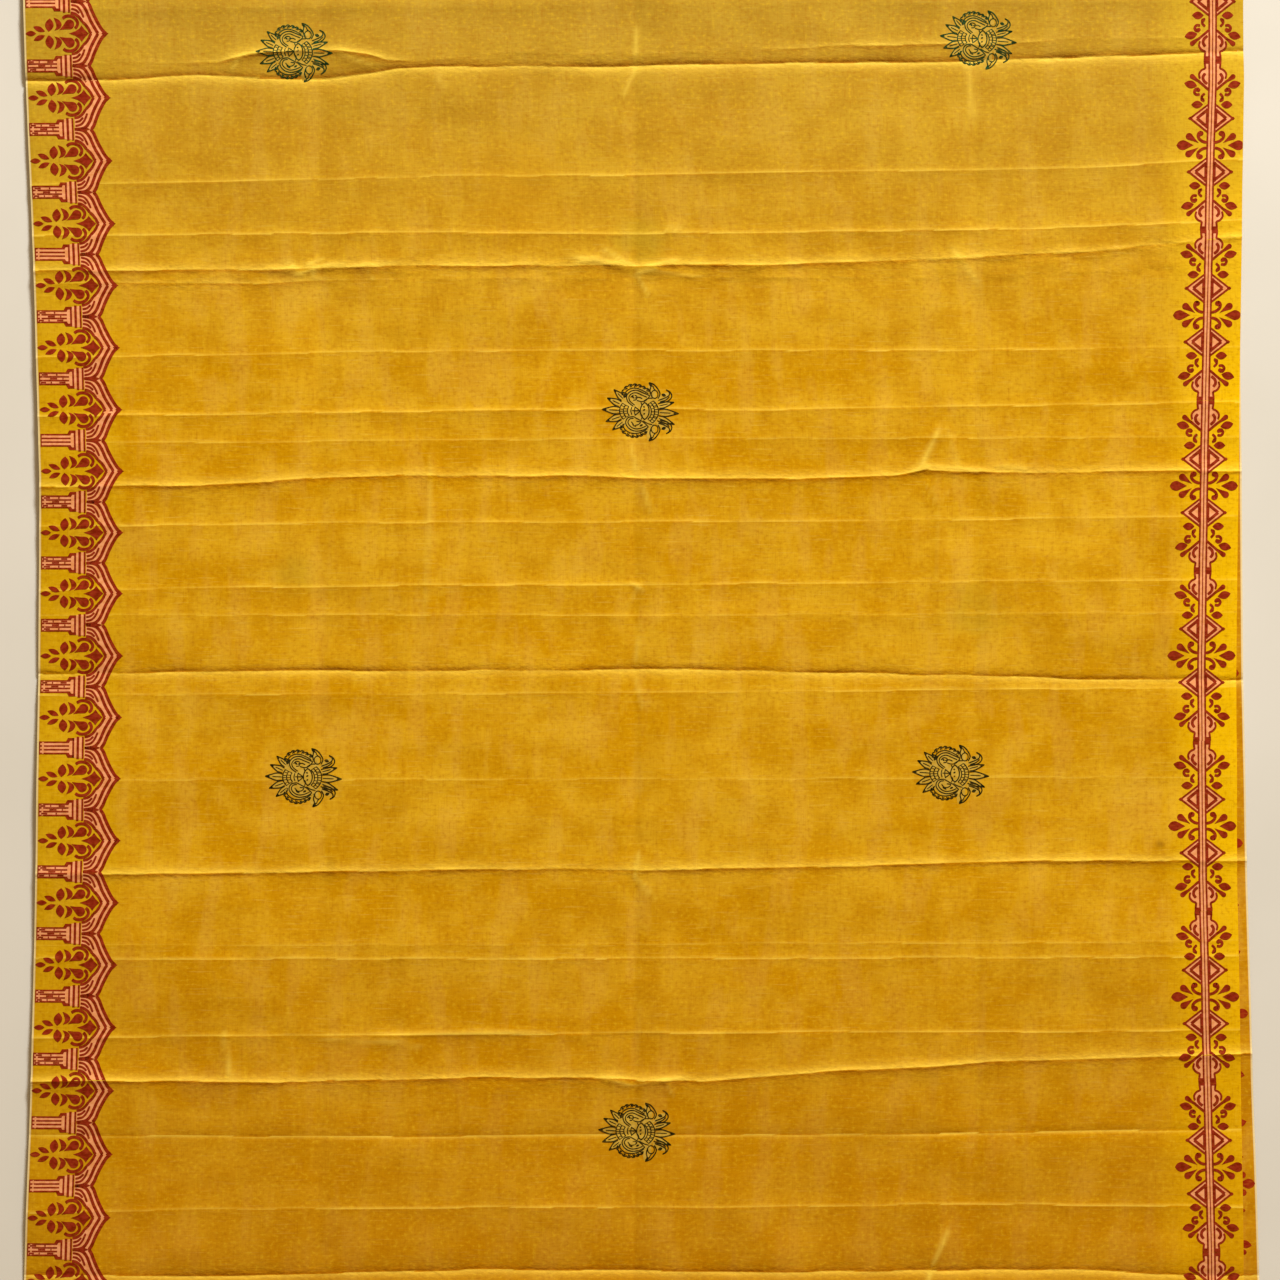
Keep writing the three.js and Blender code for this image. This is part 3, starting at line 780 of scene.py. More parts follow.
def hidden_piece(name, front, back):
    """The third and bottom layers, as one solid that is layered at its edges and round at the lower fold."""
    thickness = LEVEL["third"] - UNDERSIDE
    middle = UNDERSIDE + thickness / 2
    nose_start = LOWER_FOLD_END + thickness / 2
    groove = LEVEL["bottom"] + (LEVEL["third"] - CLOTH - LEVEL["bottom"]) / 2

    def spacing(v):
        return min([HIDDEN_STEP] + [
            HIDDEN_FINEST + HIDDEN_GROWTH * abs(v - float(crest_at(c, 0))) for c in main_folds()])

    def side_points(third_x, low_x, rise, outward):
        """Points from the third layer's selvedge round the groove to the bottom layer's."""
        inner_x = (min if outward > 0 else max)(third_x, low_x) - outward * GROOVE
        return [
            (third_x - outward * EDGE_ROUND, LEVEL["third"] - CLOTH / 2 + rise),
            (third_x, LEVEL["third"] - CLOTH + rise * 0.6),
            (inner_x, groove),
            (low_x, LEVEL["bottom"]),
            (low_x + outward * EDGE_ROUND, LEVEL["bottom"] - CLOTH / 2),
        ]

    lines = [(y, 1.0) for y in spaced([nose_start, SEAM], spacing)]
    for share, left in NOSE:
        lines.insert(0, (nose_start - thickness / 2 * share, left))
    shares = np.concatenate([[0.0], np.linspace(0.01, 0.99, 33), [1.0]])
    rings, across, along, inward = [], [], [], []
    for y, squash in lines:
        third = edges("third", y)
        low = edges("low", y)
        seam_side = smoothstep(SEAM - SEAM_BLEND, SEAM, y)
        third = [t + (s - t) * seam_side for t, s in zip(third, edges("second", SEAM))]
        low = [t + (s - t) * seam_side for t, s in zip(low, edges("top", SEAM))]
        top_x = third[0] + shares * (third[1] - third[0])
        low_x = low[0] + shares * (low[1] - low[0])
        edge_gap = np.minimum(top_x - third[0], third[1] - top_x)
        rise = third_rise(top_x, np.full_like(top_x, y), edge_gap) * (1 - seam_side)
        top_z = LEVEL["third"] + rise
        left = side_points(third[0], low[0], rise[0], -1)[::-1]
        right = side_points(third[1], low[1], rise[-1], 1)
        ring = [*left, *zip(top_x, top_z), *right, *zip(low_x[::-1], np.full(len(low_x), UNDERSIDE))]
        ring = np.array(ring)
        ring[:, 1] = middle + (ring[:, 1] - middle) * squash
        rings.append(np.stack([ring[:, 0], np.full(len(ring), y), ring[:, 1]], axis=-1))
        across.append(ring[:, 0] - low[0])
        along.append(np.full(len(ring), 2 * FOLD_TURN + ARC_LENGTH - y))
        inward.append(np.full(len(ring), SELVEDGE_WIDTH))
    size = len(rings[0])
    faces = []
    for r in range(len(rings) - 1):
        for i in range(size):
            j = (i + 1) % size
            faces.append((r * size + i, r * size + j, (r + 1) * size + j, (r + 1) * size + i))
    faces.append(tuple(range(size))[::-1])
    faces.append(tuple((len(rings) - 1) * size + i for i in range(size)))
    obj = new_object(name, np.concatenate(rings), faces, [back, front])
    mark_cloth(obj, np.concatenate(across), np.concatenate(along), np.concatenate(inward))
    for polygon in obj.data.polygons:
        if polygon.normal.z < -0.5:
            polygon.material_index = 1
    smooth_by_angle(obj)
    return obj


# ---- Block prints, drawn flat and then laid on the cloth

# A shape of a print. form is
#   leaf  pointed at both ends, with its width in the middle
#   drop  from a point to the middle of a round end of its width
#   line  a curved line of its width
#   bar   a straight-sided line of its width
#   fill  a closed outline, curved except at a point that is given twice
#   poly  a closed outline with straight sides
# mirror names the axes that it is repeated across.
Shape = namedtuple("Shape", "form mirror width points")

# Left border: u is the distance from the selvedge, v runs along it from the middle of a temple arch
ARCH_PITCH = 60.0
OUTER_ARCH = [(79.4, 0), (75.9, 3.0), (72.6, 8.0), (69.2, 14.4), (66.6, 20), (64.2, 26), (61.4, 30)]
INNER_ARCH = [(71.4, 0), (68.4, 5.0), (64.7, 11.6), (62.2, 17.6), (59.8, 23.0), (56.4, 27.4), (52.0, 29.4)]
ARCH_CUSP = [(45.4, 19.2), (49.6, 18.2), (53.6, 15.2), (56.8, 10.8)]
ARCH_TONGUE = [(56.8, 10.8), (59.8, 8.0), (62.4, 4.4)]
ARCH_PRINT = [
    Shape("leaf", "", 5.0, [(0.7, 0), (11.2, 0)]),
    Shape("leaf", "v", 4.9, [(8.6, 6.4), (19.8, 1.9)]),
    Shape("leaf", "v", 8.4, [(23.6, 1.7), (24.9, 14.2)]),
    Shape("fill", "v", 0, [
        (28.6, 15.0), (28.6, 15.0), (33.8, 12.6), (36.3, 8.4), (34.2, 4.6), (29.1, 2.7), (29.1, 2.7),
        (31.0, 6.4), (30.5, 10.2)]),
    Shape("drop", "v", 9.2, [(33.9, 3.2), (44.0, 8.5)]),
    Shape("line", "v", 2.9, [
        (37.4, 14.2), (40.4, 16.0), (44.6, 16.3), (49.0, 14.6), (51.8, 10.8), (51.3, 7.2), (49.2, 4.9)]),
    Shape("poly", "", 0, [
        (43.2, 0), (49.4, 2.1), (53.2, 4.5), (55.6, 7.6), (58.4, 3.8), (62.4, 0), (58.4, -3.8), (55.6, -7.6),
        (53.2, -4.5), (49.4, -2.1)]),
    Shape("line", "v", 2.7, ARCH_CUSP),
    Shape("line", "v", 2.7, [*ARCH_TONGUE, (63.6, 1.8), (65.0, 0)]),
    Shape("line", "v", 3.2, OUTER_ARCH),
    Shape("line", "v", 3.0, [*INNER_ARCH, (45.6, 30.0)]),
    Shape("poly", "", 0, [(74.6, 0), (77.6, 2.4), (81.6, 0), (77.6, -2.4)]),
    Shape("line", "v", 2.1, [(46.0, 23.1), (50.4, 21.9), (53.8, 18.8)]),
    Shape("line", "v", 2.1, [(46.0, 26.7), (51.4, 25.4), (55.2, 21.2), (58.0, 14.8)]),
]
# The column between two arches: v from the line between them
COLUMN_PRINT = [
    Shape("bar", "v", 2.1, [(1.4, 5.5), (30.6, 5.5)]),
    Shape("bar", "v", 2.1, [(1.4, 1.8), (30.6, 1.8)]),
    Shape("bar", "", 1.5, [(1.8, -6.3), (1.8, 6.3)]),
    Shape("poly", "v", 0, [(26.8, 5.0), (29.4, 9.6), (35.6, 9.6), (35.6, 6.9), (31.6, 6.9), (30.6, 5.0)]),
    Shape("bar", "", 2.4, [(34.6, -9.6), (34.6, 9.6)]),
    Shape("bar", "", 3.2, [(39.1, -10.9), (39.1, 10.9)]),
    Shape("bar", "", 2.4, [(43.9, -10.9), (43.9, 10.9)]),
    Shape("leaf", "", 4.0, [(46.0, 0), (61.0, 0)]),
]
COLUMN_BLOTS = [  # where the ink has run together, in some columns only
    Shape("bar", "", 2.0, [(3.0, 3.7), (8.0, 3.7)]),
    Shape("bar", "", 2.0, [(12.6, 3.7), (13.8, 3.7)]),
    Shape("bar", "", 2.0, [(4.0, -3.7), (10.0, -3.7)]),
    Shape("bar", "", 2.0, [(18.0, -3.7), (19.4, -3.7)]),
    Shape("bar", "", 2.0, [(12.0, 0), (19.0, 0)]),
    Shape("bar", "", 2.0, [(24.0, 0), (25.2, 0)]),
    Shape("bar", "", 2.0, [(21.0, 3.7), (27.0, 3.7)]),
]
ARCH_FILLING = [
    Shape("poly", "v", 0, [*OUTER_ARCH, (52.0, 30), *INNER_ARCH[::-1]]),
    Shape("poly", "v", 0, [*INNER_ARCH, (45.4, 29.8), *ARCH_CUSP, *ARCH_TONGUE[1:], (65.0, 0)]),
]
COLUMN_FILLING = [
    Shape("poly", "", 0, [(1.4, -5.5), (30.4, -5.5), (33.8, -8.8), (33.8, 8.8), (30.4, 5.5), (1.4, 5.5)]),
    Shape("poly", "", 0, [(35.0, -9.6), (44.0, -10.2), (44.0, 10.2), (35.0, 9.6)]),
]

# Right border: x across from the middle of the stem, y along it from the middle of a flower
STEM_PITCH = 166.0
STEM_PRINT = [
    Shape("bar", "x", 2.3, [(3.35, -83.05), (3.35, 83.05)]),
    Shape("bar", "", 1.3, [(0, -83), (0, 83)]),
    Shape("fill", "x", 0, [
        (16.8, 0), (16.8, 0), (21.6, 2.6), (26.6, 4.8), (31.0, 3.4), (33.4, 0), (33.4, 0), (31.0, -3.4),
        (26.6, -4.8), (21.6, -2.6)]),
    Shape("drop", "xy", 6.6, [(11.8, 2.2), (21.3, 8.6)]),
    Shape("line", "xy", 2.8, [(4.2, 2.6), (8.2, 3.8), (11.6, 6.6), (12.6, 9.8), (11.2, 12.4), (8.8, 12.2)]),
    Shape("drop", "xy", 4.6, [(12.6, 7.4), (9.6, 11.4)]),
    Shape("bar", "xy", 2.4, [(3.4, 39.6), (20.8, 26.1)]),
    Shape("bar", "xy", 2.4, [(3.4, 12.6), (20.8, 26.1)]),
    Shape("leaf", "x", 3.2, [(18.6, 26.1), (22.8, 26.1)]),
    Shape("leaf", "x", 3.2, [(18.6, -26.1), (22.8, -26.1)]),
    Shape("bar", "xy", 3.9, [(4.6, 34.0), (14.2, 26.1)]),
    Shape("bar", "xy", 3.9, [(4.6, 18.2), (14.2, 26.1)]),
    Shape("bar", "xy", 2.6, [(4.6, 16.4), (4.6, 35.8)]),
    Shape("leaf", "xy", 7.4, [(8.8, 39.6), (20.2, 39.4)]),
    Shape("line", "xy", 2.4, [(7.2, 43.0), (9.8, 44.0), (10.2, 47.2), (7.4, 50.4)]),
    Shape("drop", "xy", 3.8, [(9.8, 47.8), (9.6, 44.6)]),
    Shape("line", "xy", 2.6, [(12.2, 49.6), (15.6, 49.2), (17.6, 51.8), (16.2, 54.6), (13.2, 54.8)]),
    Shape("drop", "xy", 3.8, [(16.6, 52.4), (13.6, 53.6)]),
    Shape("leaf", "xy", 7.6, [(15.0, 57.6), (27.6, 60.6)]),
    Shape("line", "xy", 2.4, [(3.6, 53.8), (9.8, 59.2), (16.0, 64.2)]),
    Shape("drop", "xy", 4.8, [(9.0, 58.4), (20.0, 67.0)]),
    Shape("line", "xy", 2.9, [(5.2, 59.6), (8.6, 62.8), (9.4, 66.6), (7.2, 70.0)]),
    Shape("line", "xy", 2.0, [(12.4, 64.8), (13.3, 69.2), (10.9, 73.0), (7.0, 74.8)]),
    Shape("line", "xy", 2.0, [(7.0, 74.6), (7.6, 79.0), (7.8, 83.1)]),
    Shape("poly", "xy", 0, [(3.4, 79.4), (8.7, 79.4), (8.7, 83.05), (3.4, 83.05)]),
]
# Lines of the stem, which run on to both ends of the print: x, width and mirror
STEM_LINES = [(3.35, 2.3, "x"), (0, 1.3, "")]
STEM_FILLING_LINES = [(0, 6.6, "")]
STEM_FILLING = [
    Shape("bar", "", 6.6, [(0, -83.05), (0, 83.05)]),
    Shape("poly", "x", 0, [(3.4, 39.6), (20.8, 26.1), (3.4, 12.6)]),
    Shape("poly", "x", 0, [(3.4, -39.6), (20.8, -26.1), (3.4, -12.6)]),
    Shape("poly", "xy", 0, [
        (3.4, 54.0), (9.0, 59.2), (12.4, 63.6), (13.3, 69.2), (10.9, 73.0), (7.0, 74.8), (7.7, 83.05),
        (3.4, 83.05)]),
]

# A medallion: x to the right and y towards +Y, from its middle
THIN = 1.0  # its finest lines
PETAL_LINE = 1.15
PETALS = [  # base, tip and width
    ((-19.6, 0.4), (-36.6, 1.6), 7.2), ((-19.0, 6.6), (-31.6, 12.6), 6.2),
    ((-16.2, 11.8), (-25.2, 20.8), 5.6), ((-18.8, -5.4), (-33.0, -10.2), 6.4),
    ((-16.4, -10.4), (-26.6, -18.4), 5.8),
    ((18.4, -1.6), (37.6, -2.6), 7.2), ((18.2, 4.6), (33.2, 8.4), 5.6), ((17.8, -7.0), (33.6, -13.2), 6.0),
]


def stroke(width, *points):
    return Shape("line", "", width, points)


def leaf(width, *points):
    return Shape("leaf", "", width, points)


def petal(base, tip, width):
    """The outline of a pointed petal with a line down its middle and a dark tip."""
    bx, by = base
    tx, ty = tip
    length = math.hypot(tx - bx, ty - by)
    ax, ay = (tx - bx) / length, (ty - by) / length

    def place(t, s):
        return bx + ax * length * t - ay * s, by + ay * length * t + ax * s

    sides = [
        stroke(PETAL_LINE, place(0, sign * width * 0.42), place(0.35, sign * width * 0.5),
               place(0.75, sign * width * 0.22), place(1, 0))
        for sign in (-1, 1)]
    return [
        *sides,
        stroke(PETAL_LINE * 0.75, place(0.05, 0), place(0.6, 0)),
        leaf(2.0, place(0.74, 0), place(1.04, 0)),
    ]


def ring_points(cx, cy, rx, ry, start, end, count):
    angles = np.radians(np.linspace(start, end, count))
    return [(cx + rx * math.cos(a), cy + ry * math.sin(a)) for a in angles]


def ladder(inner, outer, rungs, width):
    """Lines from one curve to another."""
    return [
        Shape("bar", "", width, [inner[i], outer[i]])
        for i in np.linspace(0, len(inner) - 1, rungs).round().astype(int)]


def scallops(points, height, width):
    """A row of small arches along a curve, each with a bead under it."""
    shapes = []
    for (ax, ay), (bx, by) in zip(points, points[1:]):
        mx, my = (ax + bx) / 2, (ay + by) / 2
        away = math.hypot(mx, my)
        ox, oy = mx / away, my / away
        rise_x, rise_y = ox * height * 0.8, oy * height * 0.8
        shapes.append(stroke(
            width, (ax, ay), (ax * 0.75 + bx * 0.25 + rise_x, ay * 0.75 + by * 0.25 + rise_y),
            (mx + ox * height, my + oy * height),
            (ax * 0.25 + bx * 0.75 + rise_x, ay * 0.25 + by * 0.75 + rise_y), (bx, by)))
        shapes.append(stroke(
            width * 0.9, (mx - ox * 1.3 - oy * 0.9, my - oy * 1.3 + ox * 0.9), (mx + ox * 0.7, my + oy * 0.7),
            (mx - ox * 1.3 + oy * 0.9, my - oy * 1.3 - ox * 0.9)))
    return shapes


def medallion_shapes():
    """The lines of a medallion: petals, leaves and curls round an eye in an oval of ladders."""
    shapes = []
    for base, tip, width in PETALS:
        shapes += petal(base, tip, width)
    for sign, lean in ((1, 0), (-1, -1.6)):

        def flip(points):
            return [(x, y * sign + lean) for x, y in points]

        shapes += [
            stroke(1.2, *flip([
                (9.0, 27.6), (13.6, 25.8), (17.4, 21.6), (19.6, 16.6), (17.6, 12.0)])),
            stroke(1.2, *flip([(9.0, 27.6), (10.6, 23.8), (9.8, 19.6), (11.2, 14.6)])),
            stroke(1.0, *flip(ring_points(14.4, 16.2, 3.3, 3.9, 0, 360, 12))),
            leaf(2.6, *flip([(8.6, 28.0), (12.2, 23.6)])),
            stroke(1.0, *flip([(12.6, 24.6), (14.0, 21.2), (15.2, 20.6)])),
            stroke(1.2, *flip([
                (18.0, 10.2), (24.4, 12.6), (28.4, 15.2), (28.6, 18.4), (25.6, 20.6)])),
            stroke(1.2, *flip([
                (19.4, 7.4), (27.0, 9.4), (31.0, 13.6), (29.8, 18.0), (25.6, 20.6)])),
            leaf(3.0, *flip([(21.0, 16.2), (25.6, 14.6)])),
            stroke(1.0, *flip([(19.6, 8.8), (25.0, 10.6), (28.8, 13.6)])),
        ]
    upper = [(9.8, 14.8), (3.4, 17.6), (-3.0, 20.2), (-9.0, 19.2), (-12.9, 14.8), (-11.6, 9.0), (-6.4, 4.6)]
    upper_in = [(7.0, 13.4), (1.4, 15.8), (-3.4, 17.8), (-7.8, 17.0), (-10.6, 13.8), (-9.6, 9.6), (-5.0, 5.8)]
    lower = [
        (8.4, -15.6), (3.0, -18.6), (-4.4, -19.6), (-10.6, -17.0), (-13.9, -11.6), (-11.6, -6.6),
        (-6.2, -5.4)]
    lower_in = [
        (6.2, -14.6), (1.6, -16.6), (-4.2, -17.4), (-9.0, -15.2), (-11.6, -11.2), (-9.8, -7.8), (-6.0, -7.0)]
    shapes += [
        stroke(1.1, *upper), stroke(THIN, *upper_in),
        stroke(1.1, *lower), stroke(THIN, *lower_in),
        stroke(THIN, (9.8, 14.8), (6.0, 10.4), (1.6, 9.2), (-3.0, 10.4)),
        stroke(THIN, (-9.0, 13.2), (-6.4, 15.4), (-3.0, 14.4), (-3.6, 11.2), (-6.6, 10.6)),
        stroke(THIN, (-5.0, 12.6), (-1.0, 13.4), (2.4, 12.0)),
        stroke(THIN, (8.4, -15.6), (3.6, -11.0), (-0.6, -8.6), (-6.2, -5.4)),
        stroke(THIN, (-8.4, -10.4), (-5.4, -13.6), (-1.6, -13.2), (0.6, -10.8), (-3.4, -10.0)),
        leaf(1.9, (-7.6, -12.8), (-3.6, -15.6)),
        leaf(1.9, (-0.4, -14.8), (3.0, -13.2)),
        leaf(1.8, (-7.8, 14.6), (-5.4, 12.2)),
    ]
    left_out = ring_points(-0.8, 0.2, 19.0, 14.0, 148, 216, 15)
    left_mid = ring_points(-0.8, 0.2, 15.2, 11.0, 150, 214, 15)
    left_in = ring_points(-0.8, 0.2, 11.4, 8.4, 150, 214, 15)
    right_out = ring_points(-0.4, -0.6, 18.6, 15.0, -48, 44, 19)
    right_mid = ring_points(-0.4, -0.6, 14.8, 12.6, -46, 44, 19)
    right_in = ring_points(-0.4, -0.6, 11.6, 10.4, -46, 44, 19)
    for curve in (left_out, left_mid, left_in, right_out, right_mid, right_in):
        shapes.append(stroke(1.05, *curve))
    shapes += ladder(left_mid, left_out, 7, 0.85)
    shapes += ladder(left_in, left_mid, 5, 0.8)
    shapes += ladder(right_mid, right_out, 11, 0.85)
    shapes += ladder(right_in, right_mid, 7, 0.8)
    eye_right = ring_points(2.6, 0, 6.4, 8.6, -78, 78, 13)
    eye_left = ring_points(8.6, 0, 8.2, 9.4, 115, 245, 11)
    shapes += [
        stroke(1.2, *eye_right),
        stroke(1.1, *eye_left),
        stroke(THIN, (0.4, 0), (-5.0, 4.2)),
        stroke(THIN, (0.4, 0), (-5.0, -4.4)),
        stroke(THIN, (0.4, 0.2), (-7.6, 0.4)),
        stroke(THIN, (-4.6, -4.2), (-5.4, 0), (-4.6, 4.2)),
        stroke(THIN, (-7.8, -3.6), (-8.8, 0), (-7.8, 4.0)),
        leaf(1.7, (3.0, 0.4), (5.4, 1.6)),
        leaf(1.5, (3.2, -3.2), (5.2, -2.4)),
        leaf(1.5, (3.0, 4.4), (5.0, 3.6)),
        stroke(THIN, (1.0, 8.4), (2.0, 5.6), (1.0, 3.2)),
        stroke(THIN, (1.2, -8.4), (2.4, -5.2), (1.2, -3.0)),
        stroke(THIN, (3.4, 9.4), (8.0, 12.2), (12.4, 12.4)),
        stroke(THIN, (3.0, -9.6), (7.6, -12.2), (12.0, -13.4)),
    ]
    shapes += scallops(
        [(-17.2, 15.4), (-15.4, 20.6), (-11.4, 23.8), (-6.8, 25.0), (-2.2, 24.8), (2.2, 23.4), (5.8, 21.4),
         (9.2, 18.8)], 1.6, 1.1)
    shapes += scallops(
        [(-18.2, -13.8), (-17.2, -18.2), (-13.8, -21.6), (-9.4, -23.8), (-4.8, -24.4), (-0.4, -23.6),
         (3.4, -22.0), (7.0, -19.6)], 1.6, 1.1)
    shapes += [
        stroke(THIN, *[
            (-16.0, 13.8), (-13.4, 19.0), (-8.6, 22.0), (-3.0, 22.2), (3.0, 19.8), (8.2, 16.8)]),
        stroke(THIN, *[
            (-16.8, -12.6), (-14.8, -17.6), (-9.6, -21.2), (-3.6, -21.8), (2.6, -20.2), (7.4, -17.2)]),
        leaf(3.0, (-15.8, 12.6), (-12.6, 17.8)),
    ]
    return shapes


MEDALLION_WASH = [
    Shape("poly", "", 0, ring_points(-0.6, 0.2, 18.6, 22.6, 0, 346, 26)),
    leaf(6.6, (-18.0, 0.4), (-36.6, 1.6)),
    leaf(5.6, (-16.4, 6.0), (-31.6, 12.6)),
    leaf(5.6, (-16.4, -5.0), (-33.0, -10.2)),
    leaf(5.0, (-13.4, 9.4), (-25.2, 20.8)),
    leaf(5.0, (-13.6, -8.6), (-26.6, -18.4)),
    leaf(6.6, (17.0, -1.6), (37.6, -2.6)),
    leaf(5.2, (16.4, 4.0), (33.2, 8.4)),
    leaf(5.2, (16.0, -6.4), (33.6, -13.2)),
    leaf(6.4, (16.0, 9.0), (29.6, 17.8)),
    leaf(6.4, (15.6, -11.0), (28.6, -18.8)),
    leaf(7.4, (14.0, 11.0), (9.2, 27.0)),
    leaf(7.4, (13.6, -12.6), (7.6, -29.0)),
]
# Where the medallions lie: x, the place along the printed face, a turn in degrees and the ink
Medallion = namedtuple("Medallion", "x along turn ink")
MEDALLIONS = [
    Medallion(-340.5, 609.5, 2, "green"),
    Medallion(326.5, 622.5, -2, "green"),
    Medallion(-3.0, 259.5, 0, "dark"),
    Medallion(-331.5, -97.5, 1, "dark"),
    Medallion(299.5, -94.0, 0, "dark"),
    Medallion(-6.5, -443.0, 0, "dark"),
    Medallion(-4.0, 969.0, 0, "dark"),
    Medallion(-336.0, 1322.0, 0, "green"),
    Medallion(318.0, 1322.0, 0, "dark"),
    Medallion(-4.0, 1675.0, 1, "dark"),
    Medallion(-333.0, 2028.0, 0, "dark"),
    Medallion(310.0, 2028.0, 0, "dark"),
]

CURVE_STEPS = 4


def curved(points, closed=False, steps=CURVE_STEPS):
    """Points on a smooth curve through the given ones. A point that is given twice is a corner."""
    p = [np.array(q, float) for q in points]
    count = len(p)
    out = []
    last = count if closed else count - 1
    for i in range(last):
        a, b = p[i], p[(i + 1) % count]
        if np.allclose(a, b):
            continue
        before = p[i - 1] if closed or i > 0 else a
        after = p[(i + 2) % count] if closed or i + 2 < count else b
        for t in np.arange(steps) / steps:
            m0, m1 = (b - before) / 2, (after - a) / 2
            out.append(
                (2 * t ** 3 - 3 * t ** 2 + 1) * a + (t ** 3 - 2 * t ** 2 + t) * m0
                + (3 * t ** 2 - 2 * t ** 3) * b + (t ** 3 - t ** 2) * m1)
    if not closed:
        out.append(p[-1])
    return np.array(out)


def ribbon(points, width):
    """Quads of a line of even width that narrows a little at its ends."""
    direction = np.gradient(points, axis=0)
    direction /= np.linalg.norm(direction, axis=1)[:, None] + 1e-12
    side = np.stack([-direction[:, 1], direction[:, 0]], axis=-1)
    half = np.full(len(points), width / 2)
    half[[0, -1]] *= 0.75
    left = points + side * half[:, None]
    right = points - side * half[:, None]
    verts = np.concatenate([left, right])
    n = len(points)
    faces = [(i, n + i, n + i + 1, i + 1) for i in range(n - 1)]
    return verts, faces


def leaf_outline(a, b, width):
    a, b = np.array(a, float), np.array(b, float)
    t = np.linspace(0, 1, 9)
    side = np.array([-(b - a)[1], (b - a)[0]]) / np.linalg.norm(b - a)
    half = width / 2 * np.sin(math.pi * t) ** 0.85
    one = a + (b - a) * t[:, None] + side * half[:, None]
    other = a + (b - a) * t[::-1, None] - side * half[::-1, None]
    return np.concatenate([one, other[1:-1]])


def drop_outline(tip, middle, width):
    tip, middle = np.array(tip, float), np.array(middle, float)
    axis = (middle - tip) / np.linalg.norm(middle - tip)
    side = np.array([-axis[1], axis[0]])
    radius = width / 2
    angles = np.radians(np.linspace(-110, 110, 12))
    round_end = [middle + radius * (axis * math.cos(a) + side * math.sin(a)) for a in angles]
    waist = [tip + (middle - tip) * 0.45 + side * s * radius * 0.42 for s in (1, -1)]
    return np.array([tip, waist[1], *round_end, waist[0]])


def flat_shape(shape):
    """Points and faces of a shape, all anticlockwise."""
    if shape.form == "line":
        verts, faces = ribbon(curved(shape.points), shape.width)
    elif shape.form == "bar":
        verts, faces = ribbon(np.array(shape.points, float), shape.width)
    else:
        if shape.form == "leaf":
            verts = leaf_outline(*shape.points, shape.width)
        elif shape.form == "drop":
            verts = drop_outline(*shape.points, shape.width)
        elif shape.form == "fill":
            verts = curved(shape.points, closed=True, steps=3)
        else:
            verts = np.array(shape.points, float)
        x, y = verts[:, 0], verts[:, 1]
        area = np.sum(x * np.roll(y, -1) - y * np.roll(x, -1))
        if area < 0:
            verts = verts[::-1]
        faces = [tuple(range(len(verts)))]
    return verts, faces


def drawn(shapes):
    """All shapes and their mirror images as one flat set of points and faces."""
    points, faces = [], []
    count = 0
    for shape in shapes:
        verts, own = flat_shape(shape)
        flips = [(1, 1)]
        if "x" in shape.mirror:
            flips += [(-a, b) for a, b in flips]
        if "y" in shape.mirror or "v" in shape.mirror:
            flips += [(a, -b) for a, b in flips]
        for fx, fy in flips:
            turned = fx * fy < 0
            points.append(verts * (fx, fy))
            faces += [tuple(count + i for i in (f[::-1] if turned else f)) for f in own]
            count += len(verts)
    return np.concatenate(points), faces


HALVINGS = 5  # how often an edge that is too long is halved at most


class Sketch:
    """A flat print in the making: x across and y along the printed face of the cloth."""

    def __init__(self):
        self.points = []
        self.faces = []
        self.count = 0

    def add(self, points, faces):
        self.points.append(points)
        self.faces += [tuple(self.count + i for i in f) for f in faces]
        self.count += len(points)

    def mesh(self, cuts, longest):
        """Triangles of the whole print, cut along the lines that `cuts` names as (point, direction)."""
        bm = bmesh.new()
        points = np.concatenate(self.points)
        verts = [bm.verts.new((x, y, 0)) for x, y in points]
        for face in self.faces:
            bm.faces.new([verts[i] for i in face])
        bm.normal_update()
        bmesh.ops.triangulate(bm, faces=bm.faces[:], ngon_method="BEAUTY")
        for (px, py), (dx, dy) in cuts:
            bmesh.ops.bisect_plane(
                bm, geom=bm.verts[:] + bm.edges[:] + bm.faces[:], dist=1e-4,
                plane_co=(px, py, 0), plane_no=(-dy, dx, 0))
        for _ in range(HALVINGS):
            long_edges = [e for e in bm.edges if e.calc_length() > longest]
            if not long_edges:
                break
            bmesh.ops.subdivide_edges(bm, edges=long_edges, cuts=1, use_grid_fill=False)
            bmesh.ops.triangulate(bm, faces=[f for f in bm.faces if len(f.verts) > 3])
        bmesh.ops.triangulate(bm, faces=[f for f in bm.faces if len(f.verts) > 3])
        bmesh.ops.delete(bm, geom=[v for v in bm.verts if not v.link_faces], context="VERTS")
        bm.verts.index_update()
        flat = np.array([v.co[:2] for v in bm.verts])
        triangles = np.array([[v.index for v in f.verts] for f in bm.faces])
        area = triangle_area(flat, triangles)
        bm.free()
        triangles = np.where((area < 0)[:, None], triangles[:, ::-1], triangles)
        return flat, triangles[np.abs(area) > 1e-6]


def triangle_area(flat, triangles):
    a, b, c = flat[triangles[:, 0]], flat[triangles[:, 1]], flat[triangles[:, 2]]
    return ((b - a)[:, 0] * (c - a)[:, 1] - (b - a)[:, 1] * (c - a)[:, 0]) / 2


